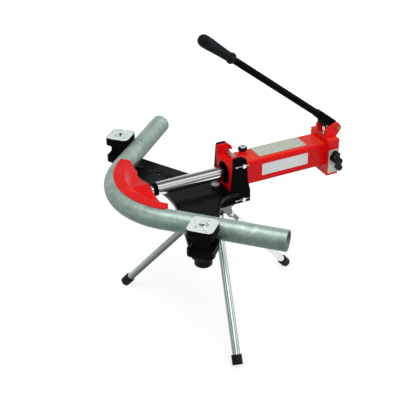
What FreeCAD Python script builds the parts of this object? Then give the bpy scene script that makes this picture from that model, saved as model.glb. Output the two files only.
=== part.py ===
"""Hydraulic pipe bender on a folding tripod, as a parametric document in millimetres.

Origin: on the floor, under the bolt that holds the tripod. +X runs along the ram to the pump,
+Y to the far side and +Z up. The ram is shown run out, with a pipe bent round its former.
"""
import FreeCAD
import Part
import Sketcher
import math
import os
import re

V = FreeCAD.Vector
X, Y, Z = V(1, 0, 0), V(0, 1, 0), V(0, 0, 1)

# Driving dimensions, in millimetres and degrees.
SIZES = {
    # main places
    "ram_height": 475.0,
    "pivot_reach": 185.1,
    "pivot_spread": 594.8,
    # pipe
    "pipe_diameter": 60.3,
    "pipe_wall": 3.6,
    "bend_radius": 224.0,
    "bend_angle": 90.0,
    "near_leg": 355.0,
    "far_leg": 330.0,
    # former
    "former_angle": 94.0,
    "ridge_round": 9.0,
    "end_lip": 6.0,
    "end_bevel": 17.0,
    "former_height": 66.0,
    "former_rim": 33.0,
    "former_slope": 19.0,
    "web_thickness": 16.0,
    "groove_clearance": 0.3,
    "groove_overrun": 20.0,
    "web_lap": 5.0,
    "hub_lap": 8.0,
    "hub_radius": 133.0,
    "hub_width": 170.0,
    "hub_height": 48.0,
    # ram
    "ram_diameter": 40.0,
    "spigot_diameter": 14.0,
    "spigot_gap": 12.0,
    "spigot_depth": 40.0,
    "collar_length": 13.0,
    "collar_bore": 24.0,
    "running_clearance": 0.05,
    "seat_clearance": 0.1,
    "end_gap": 1.0,
    "edge_bevel": 1.0,
    "collar_bevel": 1.5,
    # wing plate
    "wing_drop": 41.4,
    "wing_thickness": 12.0,
    "wing_end": 34.0,
    "wing_front_angle": 15.33,
    "wing_rear_angle": 29.9,
    "wing_apex_radius": 300.0,
    "wing_neck": 132.0,
    "wing_neck_radius": 60.0,
    "wing_rear": 46.0,
    "hole_diameter": 22.2,
    "hole_count": 6.0,
    "first_hole_reach": 102.0,
    "first_hole_spread": 236.0,
    # support blocks
    "block_width": 75.0,
    "block_rise": 42.5,
    "block_gap": 0.5,
    "block_corner": 14.0,
    "groove_depth": 9.25,
    "groove_two_radius": 21.5,
    "groove_two_depth": 15.5,
    "groove_three_radius": 24.45,
    "groove_three_depth": 13.0,
    "groove_four_radius": 17.15,
    "groove_four_depth": 17.5,
    "block_cover": 12.0,
    "block_eye": 9.0,
    "pin_head_diameter": 50.0,
    "pin_head_height": 28.0,
    "pin_head_bevel": 3.0,
    "pin_diameter": 22.0,
    "pin_nose": 2.0,
    # side plates
    "plate_spacing": 102.0,
    "plate_thickness": 12.0,
    "plate_front": 24.5,
    "plate_lean": 8.5,
    "plate_crown": 38.0,
    "plate_shoulder": 47.5,
    "plate_waist": 53.5,
    "plate_foot": 61.0,
    "plate_top": 69.5,
    "plate_bevel": 10.0,
    "waist_drop": 13.0,
    "foot_drop": 44.0,
    "plate_bottom": 80.5,
    "plate_round": 6.0,
    "flange_front": 75.0,
    "flange_rear": 57.0,
    # pump head
    "head_front": 29.0,
    "head_length": 51.0,
    "head_drop": 77.0,
    "head_side_gap": 0.3,
    "ear_top": 69.0,
    "ear_thickness": 6.7,
    "ear_rear": 44.0,
    "ear_bevel": 11.0,
    "ear_slope": 3.0,
    "ear_crown": 17.0,
    "saddle_rise": 38.0,
    "mouth_diameter": 68.6,
    "mouth_depth": 22.0,
    "hook_slope": 26.6,
    "cross_pin_diameter": 13.5,
    "cross_pin_reach": 60.0,
    "upper_pin_rise": 46.0,
    "lower_pin_drop": 67.0,
    "pin_overhang": 10.0,
    "pin_collar": 3.0,
    "pin_collar_length": 4.0,
    "clip_wire": 2.6,
    "clip_eye": 7.6,
    "clip_front": 27.0,
    "clip_rear": 16.0,
    # cylinder
    "barrel_bore": 50.0,
    "barrel_wall": 5.0,
    "barrel_seat": 12.0,
    "gland_length": 19.0,
    "gland_dish": 9.0,
    "gland_rim": 2.0,
    "wiper_length": 3.0,
    "wiper_lip": 2.0,
    "wiper_foot": 5.0,
    "bush_wall": 3.0,
    "piston_gap": 24.0,
    "piston_length": 30.0,
    "piston_stud": 24.0,
    "stud_end": 2.0,
    "piston_nut_diameter": 36.0,
    "piston_nut_length": 12.0,
    "seal_width": 6.0,
    "seal_depth": 4.0,
    # tank
    "tank_length": 277.0,
    "tank_width": 82.0,
    "tank_drop": 39.5,
    "tank_rise": 38.0,
    "tank_wall": 4.0,
    "tank_corner": 8.0,
    "filler_reach": 19.0,
    "filler_side": 14.0,
    "neck_diameter": 22.0,
    "neck_height": 12.5,
    "neck_foot": 3.0,
    "neck_foot_height": 2.0,
    "cap_seal_height": 1.5,
    "cap_diameter": 28.0,
    "cap_height": 10.0,
    "vent_diameter": 20.0,
    "vent_height": 3.0,
    "cap_thread": 14.0,
    "cap_thread_length": 11.0,
    # pump block
    "block_length": 40.0,
    "block_near": 60.0,
    "block_far": 41.0,
    "block_top": 53.5,
    "block_bottom": 66.0,
    "block_bevel": 3.0,
    "rear_seat": 8.0,
    # hand pump
    "lever_side": 10.0,
    "pivot_rear": 44.0,
    "pivot_rise": 80.5,
    "lever_angle": 38.2,
    "ear_gap": 40.0,
    "ear_play": 1.0,
    "yoke_wall": 10.0,
    "yoke_base": 6.0,
    "yoke_front": 29.0,
    "yoke_crown": 17.5,
    "yoke_crown_front": 6.0,
    "yoke_crown_rear": 1.0,
    "pivot_diameter": 12.0,
    "pivot_eye": 12.0,
    "pivot_head": 2.0,
    "pivot_head_length": 3.0,
    "plunger_forward": 28.0,
    "plunger_pin_rise": 88.5,
    "plunger_diameter": 13.0,
    "plunger_length": 77.0,
    "plunger_head": 7.0,
    "plunger_nose": 2.0,
    "plunger_bore_depth": 64.0,
    "plunger_gland_diameter": 21.0,
    "plunger_gland_length": 18.0,
    "plunger_pin_diameter": 7.0,
    "tube_diameter": 21.3,
    "tube_wall": 2.0,
    "lever_offset": 3.0,
    "socket_side": 2.0,
    "socket_lug": 8.0,
    "socket_end": 70.0,
    "tube_depth": 30.0,
    "cheek_thickness": 8.0,
    "slot_width": 11.0,
    "slot_length": 18.0,
    "grip_start": 447.0,
    "grip_end": 577.0,
    "grip_diameter": 34.0,
    "grip_cap": 5.0,
    # release valve
    "valve_reach": 19.0,
    "valve_drop": 5.0,
    "valve_bore_depth": 26.0,
    "valve_gland_diameter": 22.0,
    "valve_gland_length": 7.0,
    "spindle_diameter": 10.0,
    "spindle_taper": 3.0,
    "spindle_gap": 4.0,
    "knob_gap": 9.0,
    "knob_thickness": 20.0,
    "knob_span": 68.0,
    "knob_hub": 26.0,
    "knob_lobe": 20.0,
    "knob_waist": 15.0,
    "knob_tilt": 14.0,
    "knob_step": 2.0,
    # tripod
    "first_leg_turn": 14.9,
    "leg_count": 3.0,
    "tripod_plate_diameter": 130.0,
    "tripod_plate_thickness": 8.0,
    "tripod_bolt": 16.0,
    "tripod_bolt_head": 24.0,
    "bolt_head_height": 8.0,
    "spacer_diameter": 40.0,
    "leg_pivot_radius": 54.0,
    "leg_pivot_drop": 65.2,
    "leg_tilt": 40.4,
    "leg_diameter": 24.0,
    "leg_wall": 2.0,
    "leg_head": 15.0,
    "bracket_wall": 2.5,
    "bracket_clearance": 0.5,
    "bracket_back": 32.0,
    "bracket_head": 22.0,
    "bracket_crown": 16.0,
    "bracket_reach": 42.0,
    "bracket_lip": 6.0,
    "bracket_belly": 13.0,
    "leg_bolt": 8.0,
    "leg_bolt_head": 14.0,
    "leg_bolt_head_height": 5.0,
    "leg_nut_height": 6.5,
    "leg_bolt_overhang": 10.0,
    "foot_diameter": 32.0,
    "foot_length": 30.0,
    "foot_cup": 22.0,
    "foot_flat": 3.0,
}

doc = FreeCAD.newDocument("PipeBender")
sheet = doc.addObject("Spreadsheet::Sheet", "Sizes")
for row, (alias, value) in enumerate(SIZES.items(), 1):
    sheet.set(f"A{row}", alias)
    sheet.set(f"B{row}", str(value))
    sheet.setAlias(f"B{row}", alias)
doc.recompute()

PARTS = []

# Distance within which an edge counts as lying in a place, in millimetres
NEARBY = 1.0

# Grip: the end that a distance is taken from, the distance, and how far the face lies inside the full radius
GRIP_SHAPE = [
    ("grip_start", 0, 2), ("grip_start", 3, 0), ("grip_start", 10, 0), ("grip_start", 14, 3),
    ("grip_start", 40, 2), ("grip_end", -50, 0), ("grip_end", -24, -1.5), ("grip_end", -8, 0.5),
    ("grip_end", 0, 6),
]


# Helpers: formulas, sketches and features

def bound(formula):
    """A formula in aliases, with the sheet's name set before each alias."""
    def named(word):
        return "Sizes." + word.group() if word.group() in SIZES else word.group()
    return re.sub(r"[a-z]\w+", named, str(formula))


def size(alias):
    """The number that a cell of the sheet holds."""
    return float(sheet.get(alias))


def new_body(label):
    """An empty body that becomes the sub-part of that name."""
    body = doc.addObject("PartDesign::Body", label)
    body.Label = label
    PARTS.append(body)
    return body


def sketch_on(body, role, offset="0"):
    """A sketch on one of the body's origin planes, moved along its normal by a formula."""
    plane = next(item for item in body.Origin.OriginFeatures if item.Role == role)
    sketch = body.newObject("Sketcher::SketchObject", body.Label + "_sketch")
    sketch.AttachmentSupport = [(plane, "")]
    sketch.MapMode = "FlatFace"
    sketch.setExpression("AttachmentOffset.Base.z", bound(offset))
    return sketch


def outline(sketch, corners):
    """A closed outline whose corners are pairs of formulas from the sketch's origin."""
    count = len(corners)
    turns = [2 * math.pi * index / count for index in range(count)]
    start = [V(1000 + 100 * math.cos(turn), 1000 + 100 * math.sin(turn), 0) for turn in turns]
    first = sketch.GeometryCount
    sketch.addGeometry([Part.LineSegment(start[index], start[(index + 1) % count])
                        for index in range(count)], False)
    for index in range(count):
        following = first + (index + 1) % count
        sketch.addConstraint(Sketcher.Constraint("Coincident", first + index, 2, following, 1))
    for index, corner in enumerate(corners):
        for kind, formula, value in (("DistanceX", corner[0], start[index].x),
                                     ("DistanceY", corner[1], start[index].y)):
            number = sketch.addConstraint(Sketcher.Constraint(kind, -1, 1, first + index, 1, value))
            sketch.setExpression(f"Constraints[{number}]", bound(formula))


def circle(sketch, across, along, radius):
    """A circle whose centre and radius are formulas."""
    first = sketch.addGeometry(Part.Circle(V(1000, 1000, 0), Z, 100), False)
    for kind, formula in (("DistanceX", across), ("DistanceY", along)):
        number = sketch.addConstraint(Sketcher.Constraint(kind, -1, 1, first, 3, 1000))
        sketch.setExpression(f"Constraints[{number}]", bound(formula))
    number = sketch.addConstraint(Sketcher.Constraint("Radius", first, 100))
    sketch.setExpression(f"Constraints[{number}]", bound(radius))


def feature(body, kind, sketch, length=None, **settings):
    """A feature made from a sketch, with its length bound to a formula."""
    item = body.newObject("PartDesign::" + kind, body.Label + "_" + kind.lower())
    item.Profile = sketch
    if length is None:
        item.Type = "ThroughAll"
        item.SideType = "Symmetric"
    else:
        item.setExpression("Length", bound(length))
    for name, value in settings.items():
        setattr(item, name, value)
    sketch.Visibility = False
    body.Tip = item
    return item


def slab(body, role, corners, length, offset="0", centred=False):
    """Material of one outline, from a plane or to both sides of it."""
    sketch = sketch_on(body, role, offset)
    outline(sketch, corners)
    return feature(body, "Pad", sketch, length, SideType="Symmetric" if centred else "One side")


def disc(body, role, centre, radius, length, offset="0", centred=False):
    """A round pad."""
    sketch = sketch_on(body, role, offset)
    circle(sketch, centre[0], centre[1], radius)
    return feature(body, "Pad", sketch, length, SideType="Symmetric" if centred else "One side")


def drill(body, role, centres, radius, length=None, offset="0", **settings):
    """Round holes of one radius, right through or to a depth."""
    sketch = sketch_on(body, role, offset)
    for centre in centres:
        circle(sketch, centre[0], centre[1], radius)
    return feature(body, "Pocket", sketch, length, **settings)


def cut(body, role, corners, length=None, offset="0", **settings):
    """A pocket of one outline."""
    sketch = sketch_on(body, role, offset)
    outline(sketch, corners)
    return feature(body, "Pocket", sketch, length, **settings)


def soften(body, kind, amount, choose):
    """A fillet or chamfer on the tip's edges that the test picks."""
    doc.recompute()
    solid = body.Tip
    names = [f"Edge{index}" for index, edge in enumerate(solid.Shape.Edges, 1) if choose(edge)]
    item = body.newObject("PartDesign::" + kind, body.Label + "_" + kind.lower())
    item.Base = (solid, names)
    item.setExpression("Radius" if kind == "Fillet" else "Size", bound(amount))
    body.Tip = item
    return item


def turned(label, profile, at=("0", "0", "0"), towards=Z):
    """A piece turned on a lathe: (radius, distance along the axis) formulas round its axis."""
    body = new_body(label)
    sketch = sketch_on(body, "XZ_Plane")
    outline(sketch, profile)
    item = body.newObject("PartDesign::Revolution", label + "_turning")
    item.Profile = sketch
    item.ReferenceAxis = (sketch, ["V_Axis"])
    item.Angle = 360
    sketch.Visibility = False
    body.Tip = item
    place(body, at, FreeCAD.Rotation(Z, towards))
    return body


def place(item, at, rotation=FreeCAD.Rotation()):
    """Put a piece at three formulas, turned by a rotation."""
    item.Placement = FreeCAD.Placement(V(0, 0, 0), rotation)
    for axis, formula in zip("xyz", at):
        item.setExpression(f"Placement.Base.{axis}", bound(formula))


def tube_profile(outer, inner, start, end):
    """The four corners of a plain ring or tube, from radii and ends."""
    return [(inner, start), (outer, start), (outer, end), (inner, end)]


def along(edge, axis):
    """Whether a straight edge runs along an axis."""
    straight = edge.Curve.TypeId == "Part::GeomLine"
    return straight and abs(edge.tangentAt(edge.FirstParameter).dot(axis)) > 0.999


# Formulas that several pieces share

PIVOT_X = "-pivot_reach"
PIVOT_Y = "pivot_spread / 2"
PIPE_R = "pipe_diameter / 2"
HALF_BEND = "(bend_angle / 2 * 1deg)"
SEAT = f"(block_width / 2 - groove_depth + {PIPE_R})"
BEND_X = f"({PIVOT_X} - {PIVOT_Y} * tan({HALF_BEND}) + (bend_radius + {SEAT}) / cos({HALF_BEND}))"
WING_TOP = "(ram_height - wing_drop)"
WING_BOTTOM = "(ram_height - wing_drop - wing_thickness)"
PLATE_IN = "plate_spacing / 2"
PLATE_OUT = "(plate_spacing / 2 + plate_thickness)"
HEAD_REAR = "(head_front + head_length)"
TANK_REAR = "(head_front + head_length + tank_length)"
BLOCK_REAR = f"({TANK_REAR} + block_length)"
HUB_X = f"({BEND_X} - hub_radius)"
SHOULDER_X = f"({HUB_X} + spigot_gap)"
ROD_X = f"({SHOULDER_X} + collar_length)"
BARREL_X = f"({HEAD_REAR} - barrel_seat)"
PISTON_X = f"({BARREL_X} + piston_gap)"
BARREL_R = "(barrel_bore / 2 + barrel_wall)"
PLUNGER_X = f"({TANK_REAR} + pivot_rear - plunger_forward)"
LEVER_X = f"({TANK_REAR} + pivot_rear)"
LEVER_Z = "(ram_height + pivot_rise)"
BLOCK_TOP = "(ram_height + block_top)"
TRIPOD_TOP = "(ram_height - plate_bottom)"
TRIPOD_UNDER = "(ram_height - plate_bottom - tripod_plate_thickness)"
LEG_Z = f"({TRIPOD_UNDER} - leg_pivot_drop)"


# Wing plate: swept-forward plate with a row of pin holes in each wing

def wing_side(sign):
    """Outline points of one wing, from the front tangent point round to the neck."""
    front = "wing_front_angle * 1deg"
    rear = "wing_rear_angle * 1deg"
    reach = f"({PIVOT_X} * cos({rear}) + {PIVOT_Y} * sin({rear}) + wing_end)"
    half_neck = "wing_neck / 2"
    return [
        (f"{PIVOT_X} - wing_end * cos({front})", f"{sign} * ({PIVOT_Y} - wing_end * sin({front}))"),
        (f"{PIVOT_X} + wing_end * cos({rear})", f"{sign} * ({PIVOT_Y} + wing_end * sin({rear}))"),
        (f"({reach} - {half_neck} * sin({rear})) / cos({rear})", f"{sign} * {half_neck}"),
        ("wing_rear", f"{sign} * {half_neck}"),
    ]


def build_wing():
    body = new_body("wing_plate")
    front = "wing_front_angle * 1deg"
    apex = f"({PIVOT_X} * cos({front}) + {PIVOT_Y} * sin({front}) - wing_end) / cos({front})"
    corners = [(apex, "0")] + wing_side("-1") + wing_side("1")[::-1]
    slab(body, "XY_Plane", corners, "wing_thickness", WING_BOTTOM)
    for sign in ("-1", "1"):
        disc(body, "XY_Plane", (PIVOT_X, f"{sign} * {PIVOT_Y}"), "wing_end",
             "wing_thickness", WING_BOTTOM)
    neck = size("wing_neck") / 2
    soften(body, "Fillet", "wing_neck_radius",
           lambda edge: along(edge, Z) and abs(abs(edge.CenterOfMass.y) - neck) < NEARBY
           and edge.CenterOfMass.x < size("wing_rear") - NEARBY)
    soften(body, "Fillet", "wing_apex_radius",
           lambda edge: along(edge, Z) and abs(edge.CenterOfMass.y) < NEARBY)
    cut(body, "XY_Plane", [("plate_front", f"-{PLATE_OUT}"), ("wing_rear + wing_thickness", f"-{PLATE_OUT}"),
                           ("wing_rear + wing_thickness", PLATE_OUT), ("plate_front", PLATE_OUT)])
    holes = []
    count = int(size("hole_count"))
    for index in range(count):
        share = f"{index} / (hole_count - 1)"
        reach = f"-(first_hole_reach + (pivot_reach - first_hole_reach) * {share})"
        spread = f"(first_hole_spread + (pivot_spread - first_hole_spread) * {share}) / 2"
        holes += [(reach, spread), (reach, "-" + spread)]
    drill(body, "XY_Plane", holes, "hole_diameter / 2")
    drill(body, "XY_Plane", [("0", "0")], "tripod_bolt / 2 + seat_clearance")


# Side plates: one each side of the pump head, with a flange under the wing plate

def build_side_plate(label, near):
    body = new_body(label)
    top = "ram_height + plate_top"
    corners = [
        ("plate_front + plate_lean", top),
        ("plate_front + plate_crown", top),
        ("plate_front + plate_shoulder", f"{top} - plate_bevel"),
        ("plate_front + plate_waist", "ram_height - waist_drop"),
        ("plate_front + plate_foot", "ram_height - foot_drop"),
        ("plate_front + plate_foot", "ram_height - plate_bottom"),
        ("-flange_rear", "ram_height - plate_bottom"),
        ("-flange_front", WING_BOTTOM),
        ("plate_front", WING_BOTTOM),
        ("plate_front", WING_TOP),
    ]
    offset = PLATE_IN if near else f"-{PLATE_OUT}"
    slab(body, "XZ_Plane", corners, "plate_thickness", offset)
    crown = size("ram_height") + size("plate_top")
    soften(body, "Fillet", "plate_round",
           lambda edge: along(edge, Y) and abs(edge.CenterOfMass.z - crown) < NEARBY)
    drill(body, "XZ_Plane", [("cross_pin_reach", "ram_height + upper_pin_rise"),
                             ("cross_pin_reach", "ram_height - lower_pin_drop")],
          "cross_pin_diameter / 2 + seat_clearance")


# Pump head: block between the plates, with two hooked ears over the upper pin

def build_head():
    body = new_body("pump_head")
    half = f"({PLATE_IN} - head_side_gap)"
    top = "ram_height + ear_top"
    corners = [
        ("head_front", "ram_height - head_drop"),
        (HEAD_REAR, "ram_height - head_drop"),
        (HEAD_REAR, "ram_height + ear_rear"),
        (f"{HEAD_REAR} - ear_slope", f"{top} - ear_bevel"),
        (f"{HEAD_REAR} - ear_crown", top),
        ("head_front", top),
    ]
    slab(body, "XZ_Plane", corners, f"2 * {half}", centred=True)
    saddle = f"({half} - ear_thickness)"
    cut(body, "YZ_Plane", [(f"-{saddle}", "ram_height + saddle_rise"), (saddle, "ram_height + saddle_rise"),
                           (saddle, f"{top} + ear_bevel"), (f"-{saddle}", f"{top} + ear_bevel")])
    pin = ("cross_pin_reach", "ram_height + upper_pin_rise")
    half_slot = "(cross_pin_diameter / 2 + seat_clearance)"
    drill(body, "XZ_Plane", [pin], half_slot)
    run = "head_length"
    slope = "hook_slope * 1deg"

    def slot_corner(distance, side):
        return (f"{pin[0]} + {distance} * cos({slope}) + {side} * {half_slot} * sin({slope})",
                f"{pin[1]} - {distance} * sin({slope}) + {side} * {half_slot} * cos({slope})")

    cut(body, "XZ_Plane", [slot_corner("0", "1"), slot_corner(run, "1"),
                           slot_corner(run, "-1"), slot_corner("0", "-1")])
    drill(body, "XZ_Plane", [("cross_pin_reach", "ram_height - lower_pin_drop")], half_slot)
    axis = [("0", "ram_height")]
    drill(body, "YZ_Plane", axis, "ram_diameter / 2 + bush_wall")
    drill(body, "YZ_Plane", axis, "mouth_diameter / 2", "mouth_depth", "head_front", Reversed=True)
    drill(body, "YZ_Plane", axis, BARREL_R, "barrel_seat", HEAD_REAR)


# Cylinder: gland, wiper, bush, barrel and the ram with its piston

def build_cylinder():
    bore = "ram_diameter / 2 + running_clearance"
    base = ("0", "0", "ram_height")
    gland_rear = "head_front + mouth_depth"
    gland_front = f"({gland_rear} - gland_length)"
    dish = f"({gland_front} + gland_dish)"
    turned("gland_nut", [
        (bore, dish),
        ("ram_diameter / 2 + wiper_foot", dish),
        ("mouth_diameter / 2 - gland_rim", gland_front),
        ("mouth_diameter / 2", gland_front),
        ("mouth_diameter / 2", gland_rear),
        (bore, gland_rear)], base, X)
    turned("wiper_seal", [
        (bore, f"{dish} - wiper_length"),
        ("ram_diameter / 2 + wiper_lip", f"{dish} - wiper_length"),
        ("ram_diameter / 2 + wiper_foot", dish),
        (bore, dish)], base, X)
    turned("ram_bush", tube_profile("ram_diameter / 2 + bush_wall", bore, gland_rear, BARREL_X), base, X)
    turned("cylinder_barrel", tube_profile(BARREL_R, "barrel_bore / 2", BARREL_X,
                                           f"{TANK_REAR} + rear_seat"), base, X)
    turned("ram_rod", [
        ("0", f"{HUB_X} - spigot_depth"),
        ("spigot_diameter / 2", f"{HUB_X} - spigot_depth"),
        ("spigot_diameter / 2", SHOULDER_X),
        ("collar_bore / 2", SHOULDER_X),
        ("collar_bore / 2", ROD_X),
        ("ram_diameter / 2", ROD_X),
        ("ram_diameter / 2", PISTON_X),
        ("piston_stud / 2", PISTON_X),
        ("piston_stud / 2", f"{PISTON_X} + piston_length + piston_nut_length + stud_end"),
        ("0", f"{PISTON_X} + piston_length + piston_nut_length + stud_end")], base, X)
    turned("ram_collar", [
        ("collar_bore / 2", SHOULDER_X),
        ("ram_diameter / 2 - collar_bevel", SHOULDER_X),
        ("ram_diameter / 2", f"{SHOULDER_X} + collar_bevel"),
        ("ram_diameter / 2", ROD_X),
        ("collar_bore / 2", ROD_X)], base, X)
    groove = f"({PISTON_X} + piston_length / 2 - seal_width / 2)"
    skirt = "barrel_bore / 2 - running_clearance"
    turned("piston", [
        ("piston_stud / 2", PISTON_X),
        (skirt, PISTON_X),
        (skirt, groove),
        (f"{skirt} - seal_depth", groove),
        (f"{skirt} - seal_depth", f"{groove} + seal_width"),
        (skirt, f"{groove} + seal_width"),
        (skirt, f"{PISTON_X} + piston_length"),
        ("piston_stud / 2", f"{PISTON_X} + piston_length")], base, X)
    turned("piston_seal", tube_profile(skirt, f"{skirt} - seal_depth", groove, f"{groove} + seal_width"),
           base, X)
    turned("piston_nut", [
        ("piston_stud / 2", f"{PISTON_X} + piston_length"),
        ("piston_nut_diameter / 2", f"{PISTON_X} + piston_length"),
        ("piston_nut_diameter / 2", f"{PISTON_X} + piston_length + piston_nut_length - collar_bevel"),
        ("piston_nut_diameter / 2 - collar_bevel", f"{PISTON_X} + piston_length + piston_nut_length"),
        ("piston_stud / 2", f"{PISTON_X} + piston_length + piston_nut_length")], base, X)


# Bending former: grooved sector, thin web and a roof-shaped hub on the ram's spigot

def build_former():
    body = new_body("bending_former")
    ridge = "bend_radius - former_rim"
    web = f"{ridge} - former_slope"
    sketch = sketch_on(body, "XZ_Plane")
    outline(sketch, [
        ("bend_radius", "former_height / 2"), (ridge, "former_height / 2"), (web, "web_thickness / 2"),
        (web, "-web_thickness / 2"), (ridge, "-former_height / 2"), ("bend_radius", "-former_height / 2")])
    sector = body.newObject("PartDesign::Revolution", "former_sector")
    sector.Profile = sketch
    sector.ReferenceAxis = (sketch, ["V_Axis"])
    sector.Midplane = True
    sector.setExpression("Angle", bound("former_angle"))
    body.Tip = sector
    half_turn = "former_angle / 2 * 1deg"
    end_x = f"({web}) * cos({half_turn})"
    end_y = f"({web}) * sin({half_turn})"
    quarter_turn = "former_angle / 4 * 1deg"
    lap = f"(({web}) / cos(former_angle / 8 * 1deg) + web_lap)"
    rim = [(f"{lap} * cos({turn})", f"{lap} * sin({turn})") for turn in (quarter_turn, half_turn)]
    slab(body, "XY_Plane", [(lap, "0")] + rim + [
        (end_x, end_y), ("hub_radius", "hub_width / 2"), ("hub_radius", "-hub_width / 2"),
        (end_x, f"-{end_y}")] + [(across, f"-{along}") for across, along in reversed(rim)],
        "web_thickness", centred=True)
    roof = sketch_on(body, "YZ_Plane", "hub_radius")
    outline(roof, [
        ("hub_width / 2", "0"), ("0", "hub_height / 2"), ("-hub_width / 2", "0"), ("0", "-hub_height / 2")])
    feature(body, "Pad", roof, f"{ridge} + hub_lap - hub_radius")
    groove = sketch_on(body, "XZ_Plane")
    circle(groove, "bend_radius", "0", f"{PIPE_R} + groove_clearance")
    turning = body.newObject("PartDesign::Groove", "former_groove")
    turning.Profile = groove
    turning.ReferenceAxis = (groove, ["V_Axis"])
    turning.Midplane = True
    turning.setExpression("Angle", bound("former_angle + groove_overrun"))
    body.Tip = turning
    ridge_radius = size("bend_radius") - size("former_rim")
    soften(body, "Fillet", "ridge_round", lambda edge: edge.Curve.TypeId == "Part::GeomCircle"
           and abs(edge.Curve.Radius - ridge_radius) < 0.01)
    for sign in ("", "-"):
        cut(body, "XY_Plane", [
            (f"({ridge} + end_lip) * cos({half_turn})", f"{sign}({ridge} + end_lip) * sin({half_turn})"),
            (f"{end_x} + end_bevel / 6", f"{sign}({end_y} - end_bevel)"),
            (f"{end_x} - end_bevel", f"{sign}({end_y})"),
            (f"({ridge}) * cos({half_turn})", f"{sign}({ridge} + 2 * end_lip) * sin({half_turn})")])
    drill(body, "YZ_Plane", [("0", "0")], "spigot_diameter / 2 + seat_clearance",
          "spigot_depth + end_gap", "hub_radius", Reversed=True)
    place(body, (BEND_X, "0", "ram_height"), FreeCAD.Rotation(Z, 180))


# Pipe: bent tube in the former's groove, resting against both support blocks

def build_pipe():
    body = new_body("sample_pipe")
    sketch = sketch_on(body, "XZ_Plane")
    circle(sketch, "bend_radius", "0", PIPE_R)
    circle(sketch, "bend_radius", "0", f"{PIPE_R} - pipe_wall")
    bend = body.newObject("PartDesign::Revolution", "pipe_bend")
    bend.Profile = sketch
    bend.ReferenceAxis = (sketch, ["V_Axis"])
    bend.Midplane = True
    bend.setExpression("Angle", bound("bend_angle"))
    body.Tip = bend
    for sign, length in ((1, "near_leg"), (-1, "far_leg")):
        plane = next(item for item in body.Origin.OriginFeatures if item.Role == "XZ_Plane")
        leg = body.newObject("Sketcher::SketchObject", "pipe_leg")
        leg.AttachmentSupport = [(plane, "")]
        leg.MapMode = "FlatFace"
        circle(leg, "bend_radius", "0", PIPE_R)
        circle(leg, "bend_radius", "0", f"{PIPE_R} - pipe_wall")
        turn = FreeCAD.Rotation(Y, sign * size("bend_angle") / 2)
        leg.AttachmentOffset = FreeCAD.Placement(V(0, 0, 0), turn)
        feature(body, "Pad", leg, length, Reversed=sign > 0)
    place(body, (BEND_X, "0", "ram_height"), FreeCAD.Rotation(Z, 180))


# Support blocks: square blocks with a groove for another pipe size in each side

def build_support(label, sign):
    body = new_body("support_block_" + label)
    half = "block_width / 2"
    height = "(block_rise + wing_drop - block_gap)"
    bottom = "(block_gap - wing_drop)"
    slab(body, "XY_Plane", [(half, half), ("-" + half, half), ("-" + half, "-" + half), (half, "-" + half)],
         height, bottom)
    soften(body, "Fillet", "block_corner", lambda edge: along(edge, Z))
    grooves = [(f"({PIPE_R} + groove_clearance)", "(groove_depth + groove_clearance)"),
               ("groove_two_radius", "groove_two_depth"),
               ("groove_three_radius", "groove_three_depth"),
               ("groove_four_radius", "groove_four_depth")]
    for index, (radius, depth) in enumerate(grooves):
        role = "XZ_Plane" if index % 2 == 0 else "YZ_Plane"
        side = "1" if index in (0, 1) else "-1"
        drill(body, role, [(f"{side} * ({half} - {depth} + {radius})", "0")], radius)
    drill(body, "XY_Plane", [("0", "0")], "hole_diameter / 2", f"{height} - block_cover", bottom, Reversed=True)
    drill(body, "XY_Plane", [("0", "0")], "block_eye / 2")
    turn = -sign * size("bend_angle") / 2
    place(body, (PIVOT_X, f"{sign} * {PIVOT_Y}", "ram_height"), FreeCAD.Rotation(Z, turn))
    head_top = WING_BOTTOM
    pin_top = "ram_height + block_rise - block_cover - pin_nose"
    turned("support_pin_" + label, [
        ("0", f"{head_top} - pin_head_height"),
        ("pin_head_diameter / 2 - pin_head_bevel", f"{head_top} - pin_head_height"),
        ("pin_head_diameter / 2", f"{head_top} - pin_head_height + pin_head_bevel"),
        ("pin_head_diameter / 2", head_top),
        ("pin_diameter / 2", head_top),
        ("pin_diameter / 2", f"{pin_top} - pin_nose"),
        ("pin_diameter / 2 - pin_nose", pin_top),
        ("0", pin_top)], (PIVOT_X, f"{sign} * {PIVOT_Y}", "0"))


# Cross pins through plates and head, each with a cross hole and a wire clip

def build_cross_pin(label, height):
    radius = "cross_pin_diameter / 2"
    near = f"({PLATE_OUT} + pin_overhang)"
    body = turned(label, [
        ("0", f"-{near}"),
        (f"{radius} - edge_bevel", f"-{near}"),
        (radius, f"-{near} + edge_bevel"),
        (radius, PLATE_OUT),
        (f"{radius} + pin_collar", PLATE_OUT),
        (f"{radius} + pin_collar", f"{PLATE_OUT} + pin_collar_length"),
        ("0", f"{PLATE_OUT} + pin_collar_length")], ("cross_pin_reach", "0", height), Y)
    drill(body, "YZ_Plane", [("0", f"-({PLATE_OUT} + pin_overhang / 2)")], "clip_wire / 2 + seat_clearance")


def build_clips():
    """Both clips: a straight wire through the pin's hole with a level eye at its front end."""
    wire = size("clip_wire") / 2
    eye = size("clip_eye") / 2 - wire
    side = -(size("plate_spacing") / 2 + size("plate_thickness") + size("pin_overhang") / 2)
    clips = []
    for height in (size("upper_pin_rise"), -size("lower_pin_drop")):
        at = V(size("cross_pin_reach"), side, size("ram_height") + height)
        start = 2 * eye - size("clip_front")
        leg = Part.makeCylinder(wire, size("clip_rear") - start, at + V(start, 0, 0), X)
        ring = Part.makeTorus(eye, wire, at + V(start - eye, 0, 0), Z)
        clips.append(leg.fuse(ring).removeSplitter())
    item = doc.addObject("Part::Feature", "pin_clips")
    item.Label = "pin_clips"
    item.Shape = Part.makeCompound(clips)
    PARTS.append(item)


# Tank casing round the barrel, with its filler neck and cap

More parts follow.
